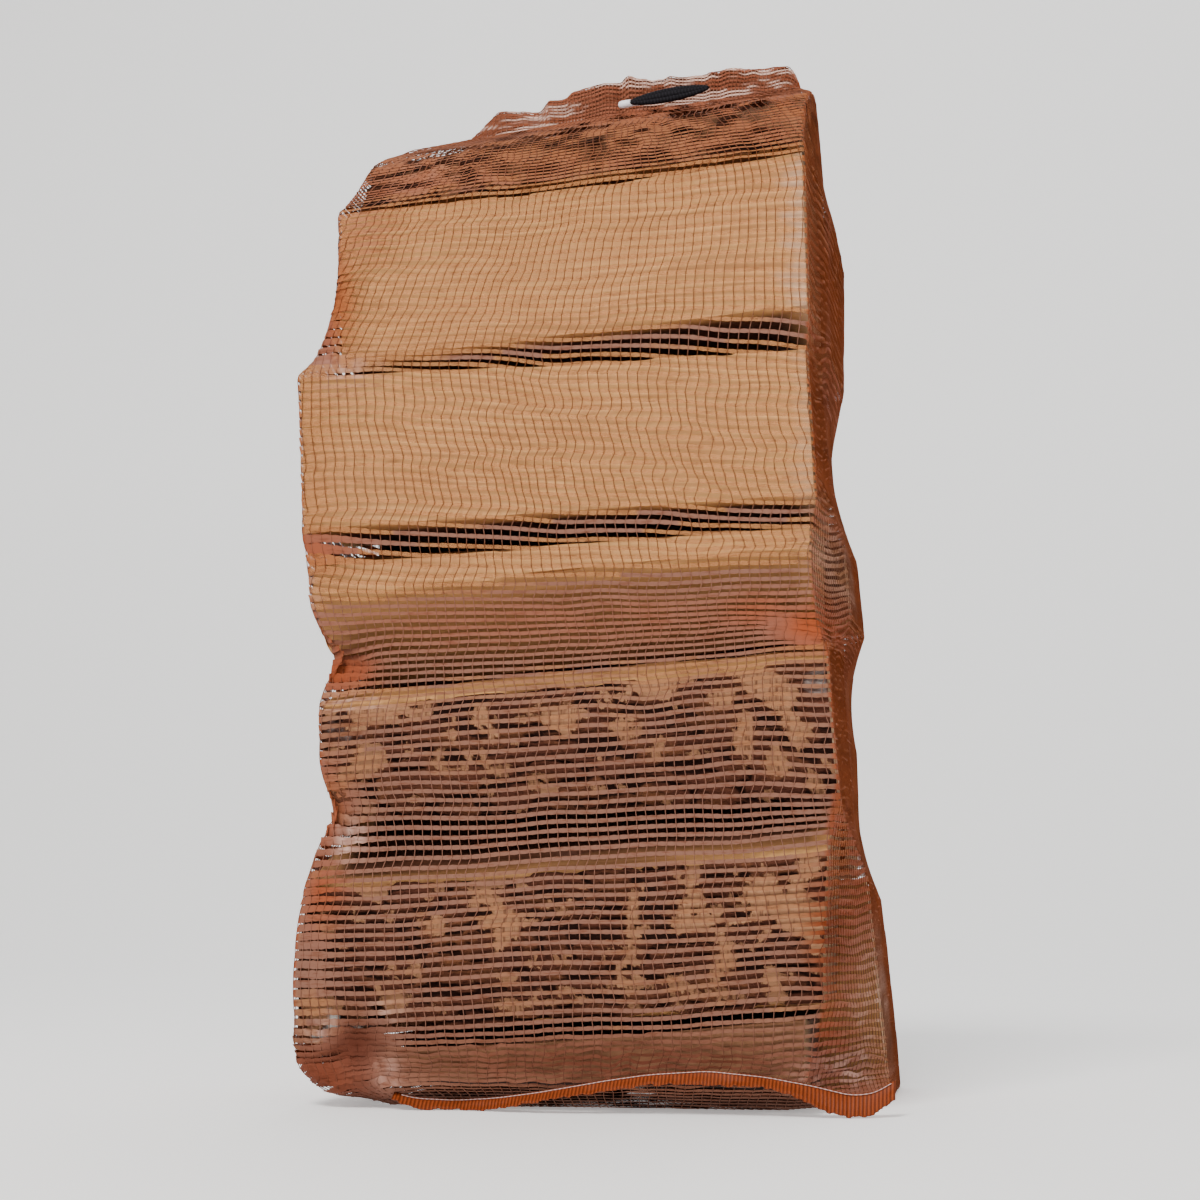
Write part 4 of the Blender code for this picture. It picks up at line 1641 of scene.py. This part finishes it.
    @staticmethod
    def band_quads(rows: int, count: int, corners: int = 3) -> np.ndarray:
        """Return the quads of closed bands with some corners at each of their points.

        Args:
            rows: Number of bands.
            count: Number of points along a band.
            corners: Number of corners at each point.

        Returns:
            Four point indices a face.
        """
        row = np.arange(rows)[:, None, None] * count * corners
        col = np.arange(count)[None, :, None]
        corner = np.arange(corners)[None, None, :]
        after = (col + 1) % count
        turn = (corner + 1) % corners
        quads = [row + col * corners + corner, row + after * corners + corner,
                 row + after * corners + turn, row + col * corners + turn]
        return np.stack(quads, axis=-1).reshape(-1, 4)

    def threads(self, name: str, rows: np.ndarray, chains: np.ndarray) -> bpy.types.Object:
        """Return some chain threads, each a thin three-sided closed tube up the bag.

        Formula: a thread's line follows the surface at one share of the way round, and
        its three corners stand a radius from it, turned by a third of a circle each.

        Args:
            name: The piece's name.
            rows: The lengths up the surface of a thread's points.
            chains: The threads' numbers.

        Returns:
            The undressed piece.
        """
        across = (chains / self.chains)[:, None] * np.ones((1, len(rows)))
        along = np.ones((len(chains), 1)) * rows[None, :]
        sideways, sag, proud = self.drift(across, along)
        place, way, _, out = self.surface.frame_at(across + sideways, along + sag)
        place = place + out * (proud[..., None] + self.tape_back)
        place[..., 2] = np.maximum(place[..., 2], self.floor_gap)
        ring = [place + (way * math.cos(a) + out * math.sin(a)) * self.chain_radius
                for a in circle(3)]
        points = np.stack(ring, axis=2)
        size = len(rows) * 3
        quads = np.concatenate([grid_quads(len(rows), 3, i * size)
                                for i in range(len(chains))])[:, ::-1]
        first = np.arange(len(chains))[:, None] * size
        lower = first + np.array([[0, 1, 2]])
        upper = first + size - 3 + np.array([[2, 1, 0]])
        piece = make_mesh(name, points.reshape(-1, 3), quads, np.concatenate([lower, upper]))
        self.tint(piece, place, out, along, 3)
        return piece

    def folds(self) -> bpy.types.Object:
        """Return the closely gathered layers under the mouth's tapes, as a thin shell."""
        start = self.surface.FLOOR_RINGS + len(self.surface.reach)
        rings = self.surface.grid[start:]
        rows = np.linspace(0, len(rings) - 1, self.FOLD_ROWS)
        low = np.minimum(rows.astype(int), len(rings) - 2)
        share = (rows - low)[:, None, None]
        skin = rings[low] * (1 - share) + rings[low + 1] * share
        piece = shell("mouth_folds", skin[:, ::2], 0.9 * MM, 0.4 * MM, True)
        count = skin[:, ::2].shape[1]
        length = np.repeat(np.arange(self.FOLD_ROWS) * 0.9 * MM, count)
        around = np.tile(np.arange(count), self.FOLD_ROWS)
        sway = Noise(70).layers(around / 9.0, length / 0.01, 2)
        paint(piece, "band", np.tile(length + sway * 2.4 * MM, 2))
        return piece

    def build(self) -> None:
        """Make and dress the tapes, the threads and the folds of the mouth."""
        tape = NetFinish("net_tape").material()
        # Over light wood the threads are darker than over bark: their own colour plus a painted
        # shadow on the wood under them.
        thread = NetFinish(
            "net_thread", over_dark=(0.25, 0.115, 0.078), over_light=(0.13, 0.045, 0.017),
            stacked=(0.25, 0.060, 0.020), fold=(0.52, 0.33, 0.26), clear=0.0).material()
        rows = self.rows()
        for name, part in zip(("net_tapes_low", "net_tapes_middle", "net_tapes_high"),
                              np.array_split(rows, 3)):
            finish_piece(self.tapes(name, part), [tape], ("net_bag",))
        halves = np.array_split(np.arange(self.chains), 2)
        for name, chains in zip(("net_threads_right", "net_threads_left"), halves):
            finish_piece(self.threads(name, rows, chains), [thread],
                         ("net_bag",))
        folds = ClothFinish(
            "mouth_net", light=(0.42, 0.16, 0.085), dark=(0.13, 0.032, 0.013),
            bands=2 * math.pi / STRAND_PITCH, roughness=0.5).material()
        finish_piece(self.folds(), [folds], ("net_bag",))


@dataclass
class Hem:
    """The sewn hem along the bottom of the front, with its seam thread.

    SEAM and EDGE give the heights of the seam and of the hem's lower edge, as (x, z) in
    millimetres.
    """

    surface: NetSurface
    lean: float = 5.0 * MM
    corner_x: float = 112 * MM
    ear_turn: float = 0.25
    rib_pitch: float = 1.8 * MM
    thick: float = 0.5 * MM
    columns: int = 760
    rows: int = 14
    rounding: int = 40

    SEAM = ((-82, 9), (-72, 6), (-52, 5), (-33, 6.5), (-13, 9.5), (6, 13), (25, 16.5),
            (45, 19.5), (73, 21.5), (101, 19), (120, 15.5), (140, 10.5), (152, 12), (160, 18))
    EDGE = ((-82, 6), (-72, 1.4), (-61, 0.6), (-37, 0.6), (-17, 4.2), (2, 8), (21, 11),
            (40, 14), (59, 15.5), (78, 14.8), (97, 15), (106, 13.2), (115, 9.5), (125, 5),
            (134, 1), (143, 0.6), (152, 2), (160, 9))

    def height(self, table: tuple, x: np.ndarray) -> np.ndarray:
        """Return a table's heights at places, rounded by a mean over a few millimetres."""
        knots = np.array(table, float) * MM
        offsets = np.linspace(-5, 5, 11)[:, None] * MM
        return np.interp(x[None] + offsets, knots[:, 0], knots[:, 1]).mean(axis=0)

    def front(self, x: np.ndarray, z: np.ndarray) -> np.ndarray:
        """Return the hem's forward place, which leaves the bag at the right corner.

        Args:
            x: Places along X.
            z: The seam's heights there.

        Returns:
            The Y of the hem at each place.
        """
        corner = self.corner_x + SHIFT[0]
        plain = self.surface.front_y(np.clip(x, -0.085, corner), z)
        reach = self.rounding
        padded = np.pad(plain, reach, mode="edge")
        near = np.array([padded[k:k + 2 * reach + 1].min() for k in range(len(plain))])
        padded = np.pad(near, reach, mode="edge")
        even = np.convolve(padded, np.ones(2 * reach + 1) / (2 * reach + 1), "valid")
        return even + self.ear_turn * np.maximum(0.0, x - corner)

    def build(self) -> None:
        """Make and dress the ribbed band and the white seam thread on it."""
        count, tall = self.columns, self.rows
        flat = np.linspace(self.SEAM[0][0] * MM, self.SEAM[-1][0] * MM, count)
        x = flat + SHIFT[0]
        seam, lower = self.height(self.SEAM, flat), self.height(self.EDGE, flat)
        front = self.front(x, seam)
        ragged = Noise(77).layers(flat / 0.0022 + 90, flat * 0, 2) - 0.5
        lower = np.maximum(lower + 1.6 * MM * ragged, 0.3 * MM)
        down = np.linspace(0.0, 1.0, tall)[:, None]
        phase = 2.6 * Noise(3).at(flat / 0.011 + 90, flat * 0)
        ribs = np.sin(2 * math.pi * flat / self.rib_pitch + phase)
        fold = Noise(6).layers(flat[None, :] / 0.014 + 90, down * 1.5, 2) - 0.5
        z = seam * (1 - down) + lower * down
        y = (front - 1.4 * MM - self.lean * down + 0.45 * MM * ribs * (0.3 + 0.7 * down)
             + 4.0 * MM * fold * down)
        outer = np.stack([np.broadcast_to(x, z.shape), y, z], axis=-1)
        piece = shell("hem_band", outer, 0.0, self.thick, False)
        paint(piece, "band", np.tile(flat + phase / 2 / math.pi * self.rib_pitch, 2 * tall))
        hem = ClothFinish(
            "hem_net", light=(0.31, 0.060, 0.013), dark=(0.060, 0.010, 0.003),
            bands=2 * math.pi / self.rib_pitch, roughness=0.5).material()
        finish_piece(piece, [hem], ("net_bag",))
        top = np.stack([x, front - 2.4 * MM, seam - 0.5 * MM], axis=1)
        thread = tube("seam_thread", top[12:-6], 0.24 * MM, 6)
        white = ClothFinish(
            "white_thread", light=(0.66, 0.50, 0.48), dark=(0.36, 0.19, 0.16),
            bands=2600.0, roughness=0.6).material()
        finish_piece(thread, [white])


def shell(name: str, skin: np.ndarray, sink: float, thick: float,
          close: bool) -> bpy.types.Object:
    """Return a closed thin shell under a grid of points.

    Formula: the outer skin lies sink below the grid, against its normals, and the inner
    skin lies thick below that. Walls join them along the grid's open edges.

    Args:
        name: The piece's name.
        skin: The grid, as (row, column, xyz), whose normals come from its columns'
            direction crossed with its rows' direction.
        sink: Depth of the outer skin.
        thick: Thickness of the shell.
        close: Whether the last column joins the first.

    Returns:
        The undressed piece.
    """
    rows, cols = skin.shape[:2]
    if close:
        way = np.roll(skin, -1, axis=1) - np.roll(skin, 1, axis=1)
    else:
        way = np.gradient(skin, axis=1)
    normal = unit(np.cross(way, np.gradient(skin, axis=0)))
    if not close:
        normal = -normal
    outer = skin - normal * sink
    inner = outer - normal * thick
    points = np.concatenate([outer.reshape(-1, 3), inner.reshape(-1, 3)])
    size = rows * cols
    face = grid_quads(rows, cols, 0, close)
    face = face if close else face[:, ::-1]
    quads = [face, face[:, ::-1] + size]
    steps = cols if close else cols - 1
    col = np.arange(steps)
    after = (col + 1) % cols
    first = np.stack([after, col, col + size, after + size], axis=1)
    top = (rows - 1) * cols
    last = np.stack([top + col, top + after, top + after + size, top + col + size], axis=1)
    quads += [first, last] if close else [first[:, ::-1], last[:, ::-1]]
    if not close:
        row = np.arange(rows - 1) * cols
        near = np.stack([row, row + cols, row + cols + size, row + size], axis=1)
        far = (near + cols - 1)[:, ::-1]
        quads += [near[:, ::-1], far[:, ::-1]]
    return make_mesh(name, points, np.concatenate(quads))


def tube(name: str, path: np.ndarray, radius: float | np.ndarray, sides: int,
         close: bool = False) -> bpy.types.Object:
    """Return a closed tube along a path.

    Formula: at each point, a circle in the plane across the path's direction, whose
    first axis is the direction's cross product with the vertical.

    Args:
        name: The piece's name.
        path: The points of its middle line.
        radius: Its radius, or one radius a point.
        sides: Number of corners round it.
        close: Whether the path joins itself.

    Returns:
        The undressed piece.
    """
    ahead = np.roll(path, -1, axis=0) if close else np.concatenate([path[1:], path[-1:]])
    behind = np.roll(path, 1, axis=0) if close else np.concatenate([path[:1], path[:-1]])
    way = unit(ahead - behind)
    side = unit(np.cross(way, np.array([0.0, 0.12, 1.0])))
    lift = np.cross(side, way)
    angle = circle(sides)
    radius = np.broadcast_to(radius, (len(path),))[:, None, None]
    ring = (side[:, None] * np.cos(angle)[:, None] + lift[:, None] * np.sin(angle)[:, None])
    points = path[:, None] + ring * radius
    rows = len(path)
    quads = grid_quads(rows, sides)[:, ::-1]
    tris = None
    flat = points.reshape(-1, 3)
    if close:
        last, first = (rows - 1) * sides + np.arange(sides), np.arange(sides)
        seam = np.stack([first, np.roll(first, -1), np.roll(last, -1), last], axis=1)
        quads = np.concatenate([quads, seam])
    else:
        flat = np.concatenate([flat, path[:1], path[-1:]])
        hubs = len(flat) - 2
        first = np.arange(sides)
        last = (rows - 1) * sides + first
        tris = np.concatenate([
            np.stack([first, np.roll(first, -1), np.full(sides, hubs)], axis=1),
            np.stack([np.roll(last, -1), last, np.full(sides, hubs + 1)], axis=1)])
    piece = make_mesh(name, flat, quads, tris)
    band = np.repeat(lengths(path), sides)
    paint(piece, "band", np.concatenate([band, np.zeros(len(flat) - len(band))]))
    return piece


@dataclass
class Drawcord:
    """The black drawcord's loop on the gathered mouth, and the white crimp on it."""

    cord_radius: float = 1.7 * MM
    crimp_radius: float = 2.1 * MM
    bow: float = 2.3 * MM

    def build(self) -> None:
        """Make and dress the cord and the crimp where their nodes are."""
        low, high = (np.array(corner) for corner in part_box("drawcord"))
        left = np.array([low[0] - 10 * MM, low[1] + 1.2 * MM, low[2] + 1.2 * MM])
        right = np.array([high[0], low[1] + 3.0 * MM, high[2] + 1.2 * MM])
        angle = circle(180)
        share = (0.5 + 0.47 * np.cos(angle))[:, None]
        middle = left + (right - left) * share
        rise = np.sin(angle) * np.sqrt(np.abs(np.sin(angle)) + 1e-9) * self.bow
        path = middle + rise[:, None] * np.array([0.0, 0.15, 1.0])
        thin = 0.62 + 0.38 * np.sin(math.pi * share[:, 0])
        cord = tube("drawcord_loop", path, self.cord_radius * thin, 12, close=True)
        core_share = np.linspace(0.06, 0.95, 90)[:, None]
        core_path = left + (right - left) * core_share + np.array([0.0, -0.5 * MM, 0.0])
        swell = 0.35 + 0.75 * np.sin(math.pi * core_share[:, 0])
        core = tube("drawcord_strand", core_path, self.cord_radius * swell, 12)
        black = ClothFinish(
            "black_braid", light=(0.014, 0.012, 0.016), dark=(0.003, 0.003, 0.004),
            bands=3600.0, roughness=0.75).material()
        finish_piece(cord, [black], ("drawcord",))
        finish_piece(core, [black], ("drawcord",))
        low, high = (np.array(corner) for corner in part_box("cord_crimp"))
        start = np.array([low[0], low[1] + 0.6 * MM, low[2] + self.crimp_radius])
        end = np.array([high[0] + 1 * MM, low[1] + 0.6 * MM, high[2] - self.crimp_radius])
        t = np.linspace(0.0, 1.0, 40)[:, None]
        swell = np.sqrt(np.clip(1 - (2 * t[:, 0] - 1) ** 10, 0.05, 1.0))
        dent = 1 - 0.16 * np.exp(-((t[:, 0] - 0.5) / 0.09) ** 2)
        crimp = tube("crimp_sleeve", start + (end - start) * t,
                     self.crimp_radius * swell * dent, 20)
        white = ClothFinish(
            "white_sleeve", light=(0.88, 0.86, 0.88), dark=(0.66, 0.64, 0.68),
            bands=500.0, roughness=0.3).material()
        finish_piece(crimp, [white], ("cord_crimp",))


@dataclass
class Studio:
    """A pale sweep of floor and backdrop, soft lights, and the photograph's camera."""

    azimuth: float = math.radians(11.0)
    distance: float = 1.15
    height: float = 0.10
    target: tuple = (0.0025, 0.0, 0.2605)
    focal_pixels: float = 2163.0
    middle: tuple = (0.0, 0.0, 0.26)

    def sweep(self) -> None:
        """Make the floor, which curves up behind the object into a backdrop."""
        near, far, bend, wall = -3.2, 1.6, 0.9, 3.5
        arc = np.linspace(0.0, math.pi / 2, 40)
        line = np.concatenate([
            np.array([[near, 0.0]]),
            np.stack([far + bend * np.sin(arc), bend - bend * np.cos(arc)], axis=1),
            np.array([[far + bend, bend + wall]])])
        x = np.array([-5.0, 5.0])
        points = np.stack([np.broadcast_to(x, (len(line), 2)),
                           np.broadcast_to(line[:, :1], (len(line), 2)),
                           np.broadcast_to(line[:, 1:], (len(line), 2))], axis=-1)
        floor = make_mesh("stage_sweep", points.reshape(-1, 3),
                          grid_quads(len(line), 2, 0, False))
        board = Board("stage_paper")
        floor.data.materials.append(board.shade(
            Base_Color=(0.93, 0.93, 0.93, 1.0), Roughness=0.9,
            Emission_Color=(1.0, 1.0, 1.0, 1.0), Emission_Strength=0.35))

    def light(self, name: str, place: tuple, size: float, power: float,
              colour: tuple = (1.0, 1.0, 1.0)) -> None:
        """Add one square soft light that faces the middle of the bag.

        Args:
            name: The lamp's name.
            place: Where it hangs.
            size: Its side.
            power: Its power in watts.
            colour: Its colour.
        """
        lamp = bpy.data.lights.new(name, "AREA")
        lamp.size = size
        lamp.energy = power
        lamp.color = colour
        item = bpy.data.objects.new(name, lamp)
        bpy.context.scene.collection.objects.link(item)
        face_middle(item, place, self.middle)

    def build(self) -> None:
        """Make the stage, the lights, the sky and the camera."""
        self.sweep()
        self.light("key_light", (-0.42, -2.35, 2.25), 1.0, 112.0, (1.0, 0.975, 0.94))
        self.light("fill_light", (0.6, -2.6, 0.9), 2.2, 7.0)
        self.light("back_light", (0.0, 2.3, 2.6), 1.8, 30.0)
        world = bpy.data.worlds.new("studio_sky")
        world.use_nodes = True
        sky = world.node_tree.nodes["Background"]
        sky.inputs["Color"].default_value = (1.0, 0.985, 0.96, 1.0)
        sky.inputs["Strength"].default_value = 0.42
        bpy.context.scene.world = world
        self.camera()

    def camera(self) -> None:
        """Make the camera at the photograph's viewing angle and set it on the scene."""
        lens = bpy.data.cameras.new("photo_camera")
        lens.sensor_width = SENSOR_MM
        lens.lens = self.focal_pixels / PHOTO_PIXELS * SENSOR_MM
        item = bpy.data.objects.new("photo_camera", lens)
        bpy.context.scene.collection.objects.link(item)
        place = Vector((self.distance * math.sin(self.azimuth) + SHIFT[0],
                        -self.distance * math.cos(self.azimuth) + SHIFT[1], self.height))
        target = (self.target[0] + SHIFT[0], self.target[1] + SHIFT[1], self.target[2])
        face_middle(item, place, target)
        bpy.context.scene.camera = item


def main() -> None:
    """Build the bag of firewood in its studio."""
    logging.basicConfig(level=logging.INFO, format="%(message)s")
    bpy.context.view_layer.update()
    Studio().build()
    surface = NetSurface(FRONT + BACK)
    surface.fit()
    logs = [LogPiece(form, seed + 1) for seed, form in enumerate(FRONT + BACK)]
    for log in logs:
        log.build(surface)
    wood = WoodMap(logs)
    wood.fill()
    NetBag(surface, wood).build()
    Hem(surface).build()
    Drawcord().build()


if __name__ == "__main__":
    main()
